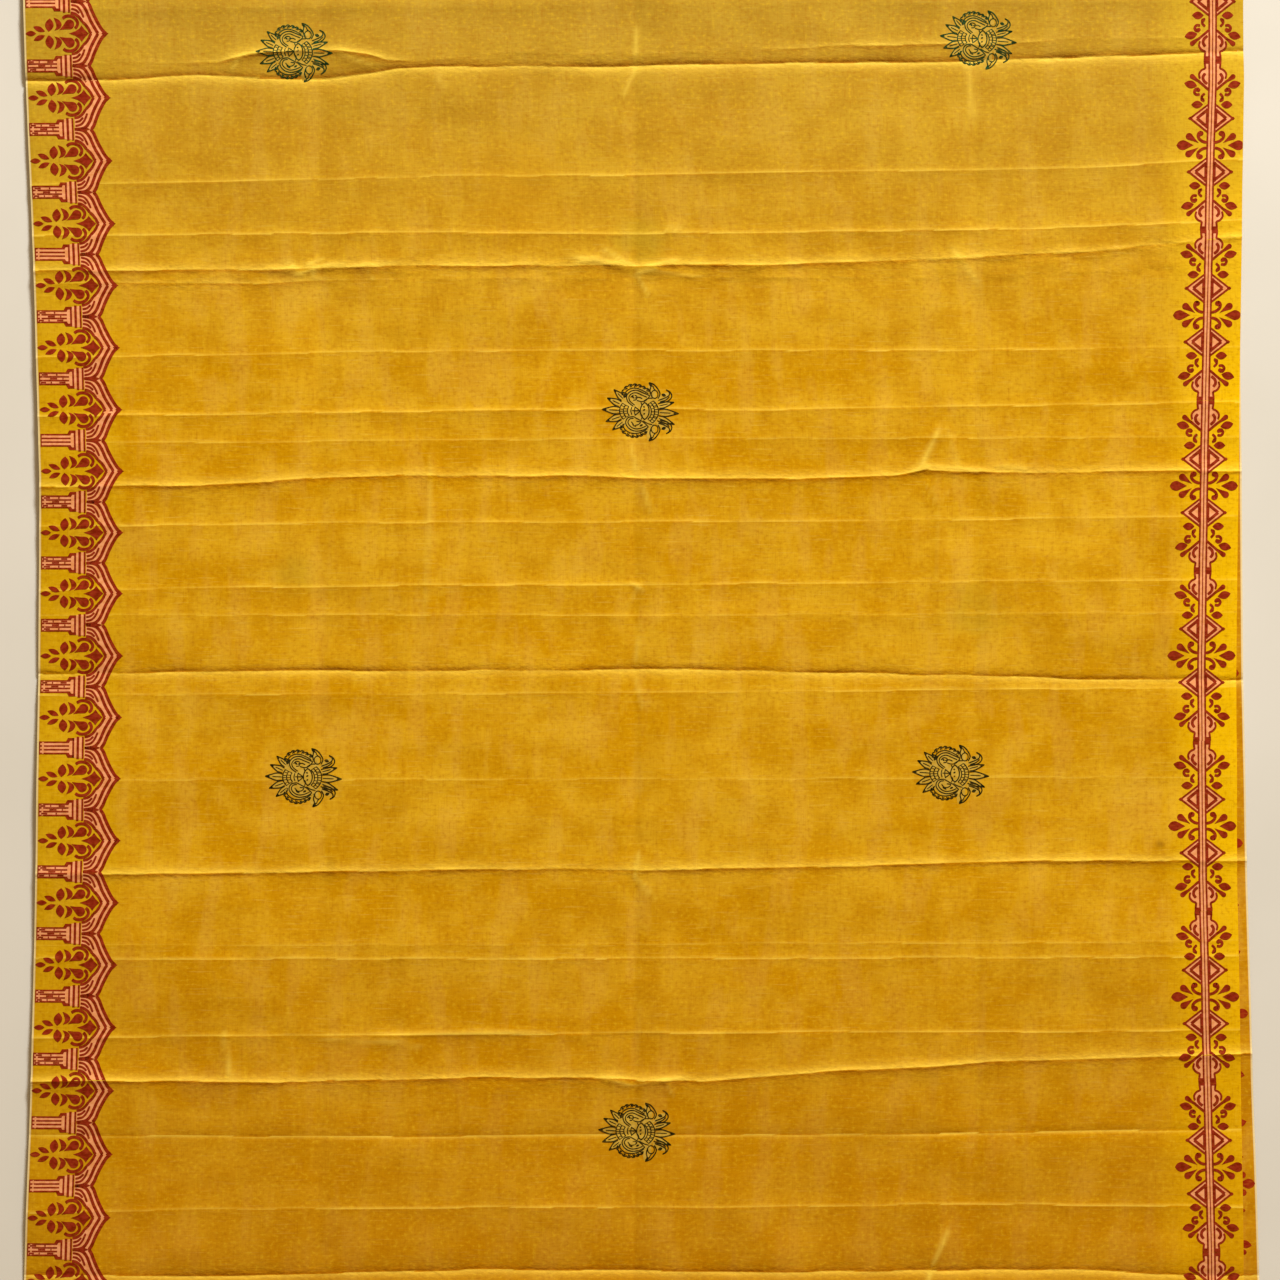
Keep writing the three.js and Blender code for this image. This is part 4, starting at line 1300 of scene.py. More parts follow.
def on_printed_face(share, along, lift):
    """Points on the printed face at a share of the width and a distance along the cloth, lifted off it."""
    share = np.asarray(share, float)
    along = np.asarray(along, float)
    out = np.empty((len(share), 3))
    top = along <= FOLD_TURN
    left, right = edges("top", np.minimum(along, FOLD_TURN))
    out[:, 0] = left + share * (right - left)
    out[top, 1] = along[top]
    out[top, 2] = top_grid().height(share[top], along[top]) + lift
    turning = ~top & (along < FOLD_TURN + ARC_LENGTH)
    angle = (along[turning] - FOLD_TURN) / OUTER_RADIUS
    out[turning, 1] = FOLD_TURN + (OUTER_RADIUS + lift) * np.sin(angle)
    out[turning, 2] = FOLD_MIDDLE + (OUTER_RADIUS + lift) * np.cos(angle)
    under = ~top & ~turning
    y = 2 * FOLD_TURN + ARC_LENGTH - along[under]
    left, right = printed_edges(along[under])
    out[under, 0] = left + share[under] * (right - left)
    out[under, 1] = y
    out[under, 2] = UNDERSIDE - lift
    return out


def printed_edges(along):
    """x of both selvedges at a distance along the printed face."""
    along = np.asarray(along, float)
    y = np.where(along <= FOLD_TURN, along, 2 * FOLD_TURN + ARC_LENGTH - along)
    y = np.minimum(y, FOLD_TURN)
    top_left, top_right = edges("top", y)
    low_left, low_right = edges("low", y)
    under = along > FOLD_TURN + ARC_LENGTH
    seam_side = smoothstep(SEAM - SEAM_BLEND, SEAM, y)
    low_left = low_left + (edges("top", SEAM)[0] - low_left) * seam_side
    low_right = low_right + (edges("top", SEAM)[1] - low_right) * seam_side
    return np.where(under, low_left, top_left), np.where(under, low_right, top_right)


def film(name, flat, triangles, to_cloth, low, high, material):
    """A closed film of ink on the cloth from flat triangles."""
    upper = to_cloth(flat, high)
    lower = to_cloth(flat, low)
    count = len(flat)
    sides = np.concatenate([triangles[:, [0, 1]], triangles[:, [1, 2]], triangles[:, [2, 0]]])
    forward = set(map(tuple, sides.tolist()))
    rim = [(a, b) for a, b in forward if (b, a) not in forward]
    faces = triangles.tolist()
    faces += (triangles[:, ::-1] + count).tolist()
    faces += [(b, a, a + count, b + count) for a, b in rim]
    obj = new_object(name, np.concatenate([upper, lower]), faces, [material])
    layer = obj.data.uv_layers.new(name="Weave")
    loops = np.empty(len(obj.data.loops), int)
    obj.data.loops.foreach_get("vertex_index", loops)
    both = np.concatenate([flat, flat])
    layer.data.foreach_set("uv", (both[loops] * METRE).astype(np.float32).ravel())
    smooth_by_angle(obj)
    return obj


# Where a film bends at a crease, from its crest, and further out where its own points are far apart
BENDS = {"fold": (-5, -2, 0, 2, 5), "thin": (-1.5, 0, 1.5), "end_": (-1.5, 0, 1.5)}
FAR_BEND = {"fold": 8, "thin": 4, "end_": 4}
FOLD_BENDS = 8  # steps round the outer fold


def crease_cuts(x0, x1, close=False):
    """Lines along the creases of a strip of the top layer, and round the outer fold."""
    cuts = []
    for crease in CREASES:
        y0, y1 = float(crest_at(crease, x0)), float(crest_at(crease, x1))
        far = FAR_BEND[kind(crease)]
        for offset in (-far, *BENDS[kind(crease)], far) if close else BENDS[kind(crease)]:
            cuts.append(((0, y0 + offset), (x1 - x0, y1 - y0)))
    for step in range(FOLD_BENDS + 1):
        cuts.append(((0, FOLD_TURN + ARC_LENGTH * step / FOLD_BENDS), (1, 0)))
    return cuts


# Lower and upper side of the films, from the cloth's face
INK_LOW = -0.08
INK_HIGH = 0.16
BLEED_HIGH = 0.1
FILLING_HIGH = 0.09
WASH_HIGH = 0.05
# Longest edge of their triangles
BORDER_EDGE = 9.0
FILLING_EDGE = 6.5
MEDALLION_EDGE = 4.0
# Ends of the print along the cloth. It stops short of the hem and of the lower fold.
PRINT_START = -760.0
PRINT_END = 2 * FOLD_TURN + ARC_LENGTH - LOWER_FOLD_END - 8
LEFT_MARGIN = 1.0  # from the selvedge to the left border
ARCH_REACH = 31.0  # half the length of an arch and of a column along the border, and a little more
COLUMN_REACH = 12.0
BLOTTED = 0.8  # share of the columns whose ink has run together
ARCHES = range(-14, 40)
EVEN_ARCHES = 10  # so many to both sides of the first are set as a printer would, and the rest evenly
ARCH_STEP = 59.9
LOW_ARCH_STEP = 62.0
HIGH_ARCH_STEP = 61.5
ARCH_ORIGIN = 80.9  # where the middle of the first arch lies along the cloth
ARCH_SPREAD = 0.0095  # the arches are a little further apart towards both ends of the top layer
FLOWER_ORIGIN = 20.5
WHOLE_STEMS = range(-4, 14)  # repeats of the right border that fit the print whole
PRINT_MARGIN = 0.4  # a print ends this far inside the right selvedge
STEM_INSET = [(-779, 32), (-583, 31), (-330, 33), (20, 34.5), (200, 34), (500, 32), (645, 30), (779, 30)]


def arch_places():
    """Where the arches lie along the printed face."""
    places = []
    for k in ARCHES:
        near = max(-EVEN_ARCHES, min(EVEN_ARCHES, k))
        beyond = (k - near) * (HIGH_ARCH_STEP if k > 0 else LOW_ARCH_STEP)
        places.append(ARCH_ORIGIN + near * ARCH_STEP + near ** 3 * ARCH_SPREAD + beyond)
    return places


def border_films(side, ink, filling, cuts, to_cloth):
    """The films of a border's outlines and of its filling."""
    films = []
    inks = bpy.context.scene.saree_cloth
    for part, sketch, high, longest, material, slot in [
        ("Print", ink, INK_HIGH, BORDER_EDGE, inked(MAROON, inks.border_ink), "border_print"),
        ("Filling", filling, FILLING_HIGH, FILLING_EDGE, inked(PEACH, inks.filling_ink), "print_filling"),
    ]:
        flat, triangles = sketch.mesh(cuts, longest)
        films.append(film(side + "Border" + part, flat, triangles, to_cloth, INK_LOW, high, material))
    return films


def inside_print(low, high):
    return low > PRINT_START and high < PRINT_END


def left_border():
    """Arches and columns along the left selvedge."""
    rng = np.random.default_rng(SEED)
    ink, filling = Sketch(), Sketch()
    arch_points, arch_faces = drawn(ARCH_PRINT)
    column_points, column_faces = drawn(COLUMN_PRINT)
    blot_points, blot_faces = drawn(COLUMN_BLOTS)
    fill_points, fill_faces = drawn(ARCH_FILLING)
    column_fill_points, column_fill_faces = drawn(COLUMN_FILLING)
    places = arch_places()
    for number, (here, after) in enumerate(zip(places, places[1:])):
        pitch = after - here
        shift = rng.normal(0, 0.25, 2)
        stretch = np.array([1, pitch / ARCH_PITCH])
        if inside_print(here - ARCH_REACH, here + ARCH_REACH):
            offset = np.array([LEFT_MARGIN + shift[0], here + shift[1]])
            ink.add(arch_points * stretch + offset, arch_faces)
            filling.add(fill_points * stretch + offset, fill_faces)
        line = here + pitch / 2
        if inside_print(line - COLUMN_REACH, line + COLUMN_REACH):
            offset = np.array([LEFT_MARGIN + shift[0], line + shift[1]])
            ink.add(column_points + offset, column_faces)
            filling.add(column_fill_points + offset, column_fill_faces)
            if rng.uniform() < BLOTTED:
                flip = rng.choice([-1, 1])
                ink.add(blot_points * (1, flip) + offset, [f[::flip] for f in blot_faces])

    def to_cloth(flat, lift):
        left, right = printed_edges(flat[:, 1])
        share = np.maximum(flat[:, 0], 0.3) / (right - left)
        return on_printed_face(share, flat[:, 1], lift)

    return border_films("Left", ink, filling, crease_cuts(-600, -515), to_cloth)


def stem_inset(along):
    """How far the middle of the stem lies from the selvedge."""
    rows = np.array(STEM_INSET, float)
    y = np.where(along <= FOLD_TURN, along, 2 * FOLD_TURN + ARC_LENGTH - along)
    return np.interp(y, rows[:, 0], rows[:, 1])


def right_border():
    """The stem with its flowers along the right selvedge."""
    rng = np.random.default_rng(SEED + 1)
    ink, filling = Sketch(), Sketch()
    points, faces = drawn(STEM_PRINT)
    fill_points, fill_faces = drawn(STEM_FILLING)
    for k in [*WHOLE_STEMS, WHOLE_STEMS[0] - 1, WHOLE_STEMS[-1] + 1]:
        here = FLOWER_ORIGIN + k * STEM_PITCH
        offset = np.array([rng.normal(0, 0.2), here + rng.normal(0, 0.3)])
        for sketch, own_points, own_faces in ((ink, points, faces), (filling, fill_points, fill_faces)):
            y = own_points[:, 1] + offset[1]
            kept = [f for f in own_faces if inside_print(min(y[list(f)]), max(y[list(f)]))]
            if kept:
                sketch.add(own_points + offset, kept)
    first_stem = FLOWER_ORIGIN + (WHOLE_STEMS[0] - 0.5) * STEM_PITCH
    last_stem = FLOWER_ORIGIN + (WHOLE_STEMS[-1] + 0.5) * STEM_PITCH
    for start, end in ((PRINT_START, first_stem), (last_stem, PRINT_END)):
        for sketch, lines in ((ink, STEM_LINES), (filling, STEM_FILLING_LINES)):
            sketch.add(*drawn([
                Shape("bar", mirror, width, [(x, start), (x, end)]) for x, width, mirror in lines]))

    def to_cloth(flat, lift):
        left, right = printed_edges(flat[:, 1])
        inset = stem_inset(flat[:, 1])
        share = (right - left - inset + flat[:, 0]) / (right - left)
        return on_printed_face(np.minimum(share, 1 - PRINT_MARGIN / CLOTH_WIDTH), flat[:, 1], lift)

    return border_films("Right", ink, filling, crease_cuts(515, 585, close=True), to_cloth)


BLEED_SHIFT = -16.6  # the second layer's repeats lie this far from the top layer's
BLEED_TOP = 110.0  # the strip that shows ends here
BLEED_CLEAR = 4.0  # what stays free above the hem
BLEED_INSET = 3.0
BLEED_MARGIN = 0.6


def bleed_through():
    """The border of the second layer, whose ink shows through its wrong side."""
    sketch = Sketch()
    points, faces = drawn([s for s in STEM_PRINT if max(p[0] for p in s.points) > 15])
    for k in range(-5, 1):
        here = FLOWER_ORIGIN + BLEED_SHIFT + k * STEM_PITCH
        offset = np.array([0, here])
        y = points[:, 1] + here
        kept = [
            f for f in faces
            if min(y[list(f)]) > SECOND_HEM_LINE + BLEED_CLEAR and max(y[list(f)]) < BLEED_TOP
            and min(points[list(f), 0]) > 8]
        if kept:
            sketch.add(points + offset, kept)

    def to_cloth(flat, lift):
        left, right = edges("second", flat[:, 1])
        share = (right - left - stem_inset(flat[:, 1]) - BLEED_INSET + flat[:, 0]) / (right - left)
        share = np.minimum(share, 1 - BLEED_MARGIN / CLOTH_WIDTH)
        out = np.empty((len(flat), 3))
        out[:, 0] = left + share * (right - left)
        out[:, 1] = flat[:, 1]
        out[:, 2] = second_grid().height(share, flat[:, 1]) + lift
        return out

    flat, triangles = sketch.mesh(crease_cuts(560, 600), BORDER_EDGE)
    return film("BleedThrough", flat, triangles, to_cloth, INK_LOW, BLEED_HIGH, inked(BLEED))


def medallions():
    """The medallions' lines in both inks, and the pale wash under them."""
    sketches = {"dark": Sketch(), "green": Sketch(), "wash": Sketch()}
    points, faces = drawn(medallion_shapes())
    wash_points, wash_faces = drawn(MEDALLION_WASH)
    for place in MEDALLIONS:
        turn = math.radians(place.turn)
        matrix = np.array([[math.cos(turn), math.sin(turn)], [-math.sin(turn), math.cos(turn)]])
        offset = np.array([place.x, place.along])
        sketches[place.ink].add(points @ matrix + offset, faces)
        sketches["wash"].add(wash_points @ matrix + offset, wash_faces)

    def to_cloth(flat, lift):
        left, right = printed_edges(flat[:, 1])
        share = (flat[:, 0] - left) / (right - left)
        return on_printed_face(share, flat[:, 1], lift)

    main_ink = bpy.context.scene.saree_cloth.medallion_ink
    films = []
    for name, ink, high, material in [
        ("MedallionPrint", "dark", INK_HIGH, inked(DARK_GREEN, main_ink)),
        ("MedallionPrintGreen", "green", INK_HIGH, inked(TEAL)),
        ("MedallionWash", "wash", WASH_HIGH, inked(WASH)),
    ]:
        flat, triangles = sketches[ink].mesh([], MEDALLION_EDGE)
        films.append(film(name, flat, triangles, to_cloth, INK_LOW, high, material))
    return films


STITCH_PITCH = 4.6
STITCH_LENGTH = 3.2
STITCH_LIFT = 0.12  # how far the middle of a stitch stands above its ends
THREAD = 0.55
THREAD_SIDES = 6
STITCH_ENDS = 2.0  # from a selvedge to the nearest stitch
HEM_STITCHING = 2.2  # from the hem's fold to the stitches
# Along a stitch from its middle, as shares of half its length, and the share of the thread's width there
STATIONS = [(-1.0, 0.25), (-0.7, 0.85), (0.0, 1.0), (0.7, 0.85), (1.0, 0.25)]


def hem_stitches(name, grid, y, material):
    """A row of running stitches, each a rounded dash of thread."""
    left, right = edges(grid.layer, y)
    start, end = left + STITCH_ENDS, right - STITCH_ENDS
    ring = [(math.cos(a), math.sin(a)) for a in np.linspace(0, 2 * math.pi, THREAD_SIDES + 1)[:-1]]
    count = int((end - start) / STITCH_PITCH)
    places = start + STITCH_PITCH * (np.arange(count) + 0.5)
    heights = grid.height((places - left) / (right - left), np.full(count, y))
    points, faces = [], []
    for place, height in zip(places, heights):
        first = len(points)
        for t, size in STATIONS:
            for cy, cz in ring:
                points.append((
                    place + t * STITCH_LENGTH / 2, y + cy * size * THREAD / 2,
                    height + cz * size * THREAD / 2 + STITCH_LIFT - STITCH_LIFT * t * t))
        for s in range(first, first + (len(STATIONS) - 1) * THREAD_SIDES, THREAD_SIDES):
            for i in range(THREAD_SIDES):
                j = (i + 1) % THREAD_SIDES
                faces.append((s + i, s + j, s + THREAD_SIDES + j, s + THREAD_SIDES + i))
        last = len(points) - THREAD_SIDES
        faces.append(tuple(range(first, first + THREAD_SIDES))[::-1])
        faces.append(tuple(range(last, last + THREAD_SIDES)))
    obj = new_object(name, points, faces, [material])
    bm = bmesh.new()
    bm.from_mesh(obj.data)
    bmesh.ops.recalc_face_normals(bm, faces=bm.faces[:])
    bm.to_mesh(obj.data)
    bm.free()
    smooth_by_angle(obj, 60)
    return obj


# ---- Materials


def linear(hex_colour):
    """An sRGB hex colour as linear red, green and blue."""
    values = [int(hex_colour[i:i + 2], 16) / 255 for i in (1, 3, 5)]
    return [v / 12.92 if v <= 0.04045 else ((v + 0.055) / 1.055) ** 2.4 for v in values]


def node(tree, type_name, settings=None, **links):
    """Adds a node. settings holds its properties, and its sockets' values by name or number. links holds the
    nodes or sockets that feed its own sockets, which are named, or numbered as i0, i1 and so on."""
    made = tree.nodes.new("ShaderNode" + type_name)
    for key, value in (settings or {}).items():
        if isinstance(key, int) or key in made.inputs:
            made.inputs[key].default_value = value
        else:
            setattr(made, key, value)
    for key, source in links.items():
        target = made.inputs[int(key[1:]) if key[1:].isdigit() else key]
        tree.links.new(source.outputs[0] if isinstance(source, bpy.types.Node) else source, target)
    return made


def new_material(name):
    material = bpy.data.materials.new(name)
    material.use_nodes = True
    tree = material.node_tree
    tree.nodes.clear()
    shader = node(tree, "BsdfPrincipled")
    node(tree, "OutputMaterial", Surface=shader)
    return material, tree, shader


def dyed(tree, ground, dye, where, low, high, strength=1.0):
    """The ground's colour, more and more of it dyed over as `where` goes from low to high, up to a strength.
    ground is a socket or a hex colour, and dye is a hex colour."""
    amount = node(tree, "MapRange", {1: low, 2: high, 3: 0.0, 4: strength}, i0=where)
    mix = node(tree, "Mix", {"data_type": "RGBA", 7: (*linear(dye), 1)}, i0=amount)
    if isinstance(ground, str):
        mix.inputs[6].default_value = (*linear(ground), 1)
    else:
        tree.links.new(ground, mix.inputs[6])
    return mix.outputs[2]


def threads(tree, across_mm, along_mm, detail=2.0):
    """Noise whose grains are that many millimetres across and along the cloth."""
    place = node(tree, "UVMap", {"uv_map": "Weave"})
    scaled = node(
        tree, "Mapping", {3: (1 / (across_mm * METRE), 1 / (along_mm * METRE), 1)}, i0=place)
    return node(
        tree, "TexNoise", {"noise_dimensions": "2D", "Scale": 1.0, "Detail": detail}, Vector=scaled)


# Stains and ghosts on the cloth
Stain = namedtuple("Stain", "x y radius colour strength")
STAINS = [
    Stain(-3, 421, 34, "#a89620", 0.28),
    Stain(324, 65, 42, "#a89020", 0.26),
    Stain(-303, -181, 7, "#9c6a00", 0.35),
    Stain(-306, -193, 8, "#9c6a00", 0.3),
    Stain(504, -164, 6, "#8a5a10", 0.5),
    Stain(539, 235, 3.2, "#6a7a30", 0.8),
    Stain(535, 68, 3.6, "#5c6a34", 0.8),
    Stain(-340, 100, 26, "#a89a2c", 0.2),
    Stain(20, -85, 60, "#c28a00", 0.25),
    Stain(-120, 480, 70, "#c68c04", 0.3),
]
STAIN_CORE = 0.35  # share of a stain's radius inside which it is strongest
# Broad changes over the ground, some of them painted light: axis of the map, from and to along it in metres,
# the strengths there, and the colour
Zone = namedtuple("Zone", "axis start end first last colour")
ZONES = [
    Zone(0, 0.066, 0.090, 0.6, 0.0, "#d4aa06"),
    # by the right selvedge: the ground's own brighter gold, made brighter still as painted light over the
    # shade of the sinking edge
    Zone(0, 1.098, 1.134, 0.0, 0.8, "#f2c200"),
    # painted shade: deeper and darker towards the hem, far from the key light
    Zone(1, -0.64, -0.16, 0.55, 0.0, "#b87000"),
    # painted sheen: duller, greyer gold towards the outer fold
    Zone(1, 0.30, 0.64, 0.0, 0.5, "#a28a38"),
]


# Colours over the ground, for the dyes of its mottling and for painted light alike: the pattern that each
# follows, from and to in its values, the colour and strength
Dye = namedtuple("Dye", "pattern low high colour strength")
MOTTLES = [
    Dye("bars", 0.52, 0.66, "#e2b248", 0.22),
    Dye("bars", 0.48, 0.36, "#c08400", 0.24),
    Dye("flecks", 0.62, 0.78, "#ecc858", 0.24),
]
SLUBS = [
    Dye("weft", 0.54, 0.82, "#a86400", 0.2),
    Dye("warp", 0.54, 0.82, "#a86400", 0.26),
    Dye("grain", 0.54, 0.78, "#a46000", 0.36),
    Dye("grain", 0.44, 0.24, "#e8bc24", 0.35),
]
# Painted highlight on the lit side of each crease, painted shade on its other side, and the undyed threads of
# the selvedge
PAINTED_LIGHT_AND_SELVEDGE = [
    Dye("Worn", 0.06, 0.95, "#f5d452", 0.62),
    Dye("Worn", -0.1, -0.95, "#b86200", 0.6),
    Dye("Selvedge", 0.2, 0.5, "#efdca8", 0.85),
]
GROUND_SHARE = 0.3  # how far the mottled colours are drawn to their middle one
GROUND = "#d29c00"
WRONG_SIDE = "#c88800"


def cloth_material(name, middle, light, dark, rough, stains, zones):
    """Plain-woven silk-cotton, piece dyed: a mottled ground with slubs both ways and a dull bloom, and
    wrinkles too fine to be in the mesh that gather along the creases, with painted highlights and painted
    shade along the creases and broad bands of painted shade and painted sheen. Its threads are 0.25 mm apart,
    which is too fine to show, so the slubs are drawn about four times as coarse."""
    material, tree, shader = new_material(name)
    patterns = {
        "weft": threads(tree, 15, 1.0, 3.0),
        "warp": threads(tree, 1.0, 22, 3.0),
        "bars": threads(tree, 26, 85, 4.0),
        "flecks": threads(tree, 30, 1.8, 2.0),
        "grain": threads(tree, 4.5, 3.5, 4.0),
    }
    cloud = threads(tree, 120, 80, 4.0)
    blotch = threads(tree, 34, 30, 5.0)
    mottled = dyed(tree, dark, light, cloud, 0.36, 0.64)
    ground = node(
        tree, "Mix", {"data_type": "RGBA", 0: GROUND_SHARE, 7: (*middle, 1)}, i6=mottled)
    colour = dyed(tree, ground.outputs[2], light, blotch, 0.5, 0.62, 0.5)
    colour = dyed(tree, colour, dark, blotch, 0.5, 0.38, 0.5)
    for dye in MOTTLES:
        colour = dyed(tree, colour, dye.colour, patterns[dye.pattern], dye.low, dye.high, dye.strength)
    parts = node(tree, "SeparateXYZ", i0=node(tree, "UVMap", {"uv_map": "Weave"}))
    # the borders' tones, painted light by the right selvedge, painted shade towards the hem and painted sheen
    # towards the outer fold
    for zone in zones:
        amount = node(
            tree, "MapRange", {1: zone.start, 2: zone.end, 3: zone.first, 4: zone.last},
            i0=parts.outputs[zone.axis])
        tinted = {"data_type": "RGBA", 7: (*linear(zone.colour), 1)}
        colour = node(tree, "Mix", tinted, i0=amount, i6=colour).outputs[2]
    for dye in SLUBS:
        colour = dyed(tree, colour, dye.colour, patterns[dye.pattern], dye.low, dye.high, dye.strength)
    place = node(tree, "TexCoord").outputs["Object"]
    broken = node(tree, "MapRange", {1: 0.35, 2: 0.55, 3: 0.4, 4: 1.0}, i0=blotch)
    for stain in stains:
        place_of_stain = (stain.x * METRE, stain.y * METRE, LEVEL["top"] * METRE)
        radius = stain.radius * METRE
        away = node(tree, "VectorMath", {"operation": "DISTANCE", 1: place_of_stain}, i0=place)
        spot = node(
            tree, "MapRange", {1: radius, 2: radius * STAIN_CORE, 3: 0, 4: stain.strength},
            i0=away.outputs["Value"])
        patchy = node(tree, "Math", {"operation": "MULTIPLY"}, i0=spot, i1=broken)
        tinted = {"data_type": "RGBA", 7: (*linear(stain.colour), 1)}
        colour = node(tree, "Mix", tinted, i0=patchy, i6=colour).outputs[2]
    # painted highlight and painted shade along the creases, then the selvedge's pale threads
    for dye in PAINTED_LIGHT_AND_SELVEDGE:
        mark = node(tree, "Attribute", {"attribute_name": dye.pattern}).outputs["Fac"]
        colour = dyed(tree, colour, dye.colour, mark, dye.low, dye.high, dye.strength)
    tree.links.new(colour, shader.inputs["Base Color"])
    roughness = node(
        tree, "MapRange", {1: 0.3, 2: 0.7, 3: rough - 0.05, 4: rough + 0.05}, i0=blotch)
    tree.links.new(roughness.outputs[0], shader.inputs["Roughness"])
    shader.inputs["Specular IOR Level"].default_value = 0.05
    shader.inputs["Sheen Weight"].default_value = 0.01
    shader.inputs["Sheen Roughness"].default_value = 0.45
    shader.inputs["Sheen Tint"].default_value = (*linear("#fff0c0"), 1)
    slubs = node(tree, "Math", {"operation": "ADD"}, i0=patterns["weft"], i1=patterns["warp"])
    woven = node(tree, "Bump", {"Strength": 0.16, "Distance": 0.0002}, Height=slubs)
    slack = node(
        tree, "Math", {"operation": "ADD"}, i0=threads(tree, 40, 14, 3.0),
        i1=threads(tree, 8, 60, 3.0))
    slack = node(tree, "Bump", {"Strength": 0.2, "Distance": 0.0012}, Height=slack, Normal=woven)
    pressed_mark = node(tree, "Attribute", {"attribute_name": "Pressed"}).outputs["Fac"]
    crumpled = node(tree, "MapRange", {1: 0, 2: 1, 3: 0.03, 4: 0.5}, i0=pressed_mark)
    wrinkled = node(
        tree, "Bump", {"Distance": 0.0011}, Strength=crumpled, Height=threads(tree, 8.0, 4.0, 2.0),
        Normal=slack)
    tree.links.new(wrinkled.outputs[0], shader.inputs["Normal"])
    return material


MATERIALS = {}


def once(name, make, *settings):
    """The material of that name, made the first time that it is asked for."""
    if name not in MATERIALS:
        MATERIALS[name] = make(name, *settings)
    return MATERIALS[name]


def front_cloth():
    """Right side of the cloth, where the dye is clearest."""
    ground = bpy.context.scene.saree_cloth.ground
    return once("SilkCottonWovenGolden", cloth_material, ground, "#dcaa20", "#ca9000", 0.5, STAINS, ZONES)


def back_cloth():
    """Wrong side of the same cloth, duller and deeper."""
    ground = bpy.context.scene.saree_cloth.wrong_side
    return once("SilkCottonWovenWrongSide", cloth_material, ground, "#d09410", "#b87a00", 0.65, [], [])


def ink_material(name, base, light, dark, cover):
    """Pigment pressed into the weave with a wood block: matt and mottled, and up to the share `cover` of the
    golden threads shows through where the slubs stand up."""
    material, tree, shader = new_material(name)
    weft = threads(tree, 9, 1.1)
    mottled = dyed(tree, dark, light, threads(tree, 5, 4, 3.0), 0.34, 0.66)
    ink = node(tree, "Mix", {"data_type": "RGBA", 0: INK_SHARE, 7: (*base, 1)}, i6=mottled)
    colour = dyed(tree, ink.outputs[2], "#c88a10", weft, 0.56, 0.86, cover)
    tree.links.new(colour, shader.inputs["Base Color"])
    shader.inputs["Roughness"].default_value = 0.6
    shader.inputs["Specular IOR Level"].default_value = 0.05
    bump = node(tree, "Bump", {"Strength": 0.3, "Distance": 0.0001}, Height=weft)
    tree.links.new(bump.outputs[0], shader.inputs["Normal"])
    return material


# Inks and the stitching thread: main, light and dark colour, and how much of the cloth shows through
INK_SHARE = 0.45
Ink = namedtuple("Ink", "name base light dark cover")
MAROON = Ink("BlockPrintMaroon", "#8c2406", "#a0361e", "#6c1800", 0.2)  # brick-red outlines of the borders
PEACH = Ink("BlockPrintPeach", "#ec9e68", "#f6b084", "#dc8c50", 0.4)  # pale, chalky filling between them
BLEED = Ink("BleedThroughMaroon", "#94260a", "#a83a14", "#861c06", 0.35)  # maroon soaked to the wrong side
TEAL = Ink("BlockPrintTeal", "#1c3a18", "#2c5430", "#141e08", 0.3)  # greener medallions near the outer fold
DARK_GREEN = Ink("BlockPrintDarkGreen", "#241e06", "#3c3a14", "#120c02", 0.3)  # nearly black medallions
WASH = Ink("BlockPrintWash", "#c8a43c", "#cfae50", "#bb9220", 0.5)  # dull halo where their ink has spread
THREAD_DYE = Ink("CottonThreadGolden", "#c98f1a", "#d8a030", "#b07a10", 0.2)  # matt spun thread of the hems


def inked(ink, base=None):
    return once(ink.name, ink_material, base or linear(ink.base), ink.light, ink.dark, ink.cover)


def painted_floor(name):
    """Smooth matt paint, with hardly any change of tone."""
    material, tree, shader = new_material(name)
    place = node(tree, "TexCoord").outputs["Object"]
    grain = node(tree, "TexNoise", {"Scale": 3.0, "Detail": 4.0}, Vector=place)
    tree.links.new(dyed(tree, "#d9d6d0", "#e2dfda", grain, 0.3, 0.7), shader.inputs["Base Color"])
    shader.inputs["Roughness"].default_value = 0.8
    return material


# ---- Pieces

DONE = {}
HEM_THICKNESS = CLOTH + HEM_RISE * 0.6
INNER_ARC_STEPS = 8
OUTER_ARC_STEPS = 12


def stand_in(piece, cad_node):
    """Lets a piece take a CAD node's place."""
    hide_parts(cad_node)
    return piece


def build_layers():
    top = grid_piece("TopLayerCloth", top_grid(), HEM_LINE, SEAM, [front_cloth()])
    second = grid_piece("SecondLayerCloth", second_grid(), SECOND_HEM_LINE, SEAM, [back_cloth()])
    DONE["top"] = stand_in(top, "top_layer")
    DONE["second"] = stand_in(second, "second_layer")


def build_hidden():
    hidden = hidden_piece("HiddenLayersCloth", front_cloth(), back_cloth())
    DONE["hidden"] = stand_in(hidden, "hidden_layers")


def build_folds():
    outer = fold_piece(
        "OuterFoldCloth", top_grid(), OUTER_RADIUS, "top", UNDERSIDE, [front_cloth()], OUTER_ARC_STEPS)
    inner = fold_piece(
        "InnerFoldCloth", second_grid(), INNER_RADIUS, "second", LEVEL["third"] - CLOTH, [back_cloth()],
        INNER_ARC_STEPS)
    DONE["outer"] = stand_in(outer, "outer_fold")
    DONE["inner"] = stand_in(inner, "inner_fold")


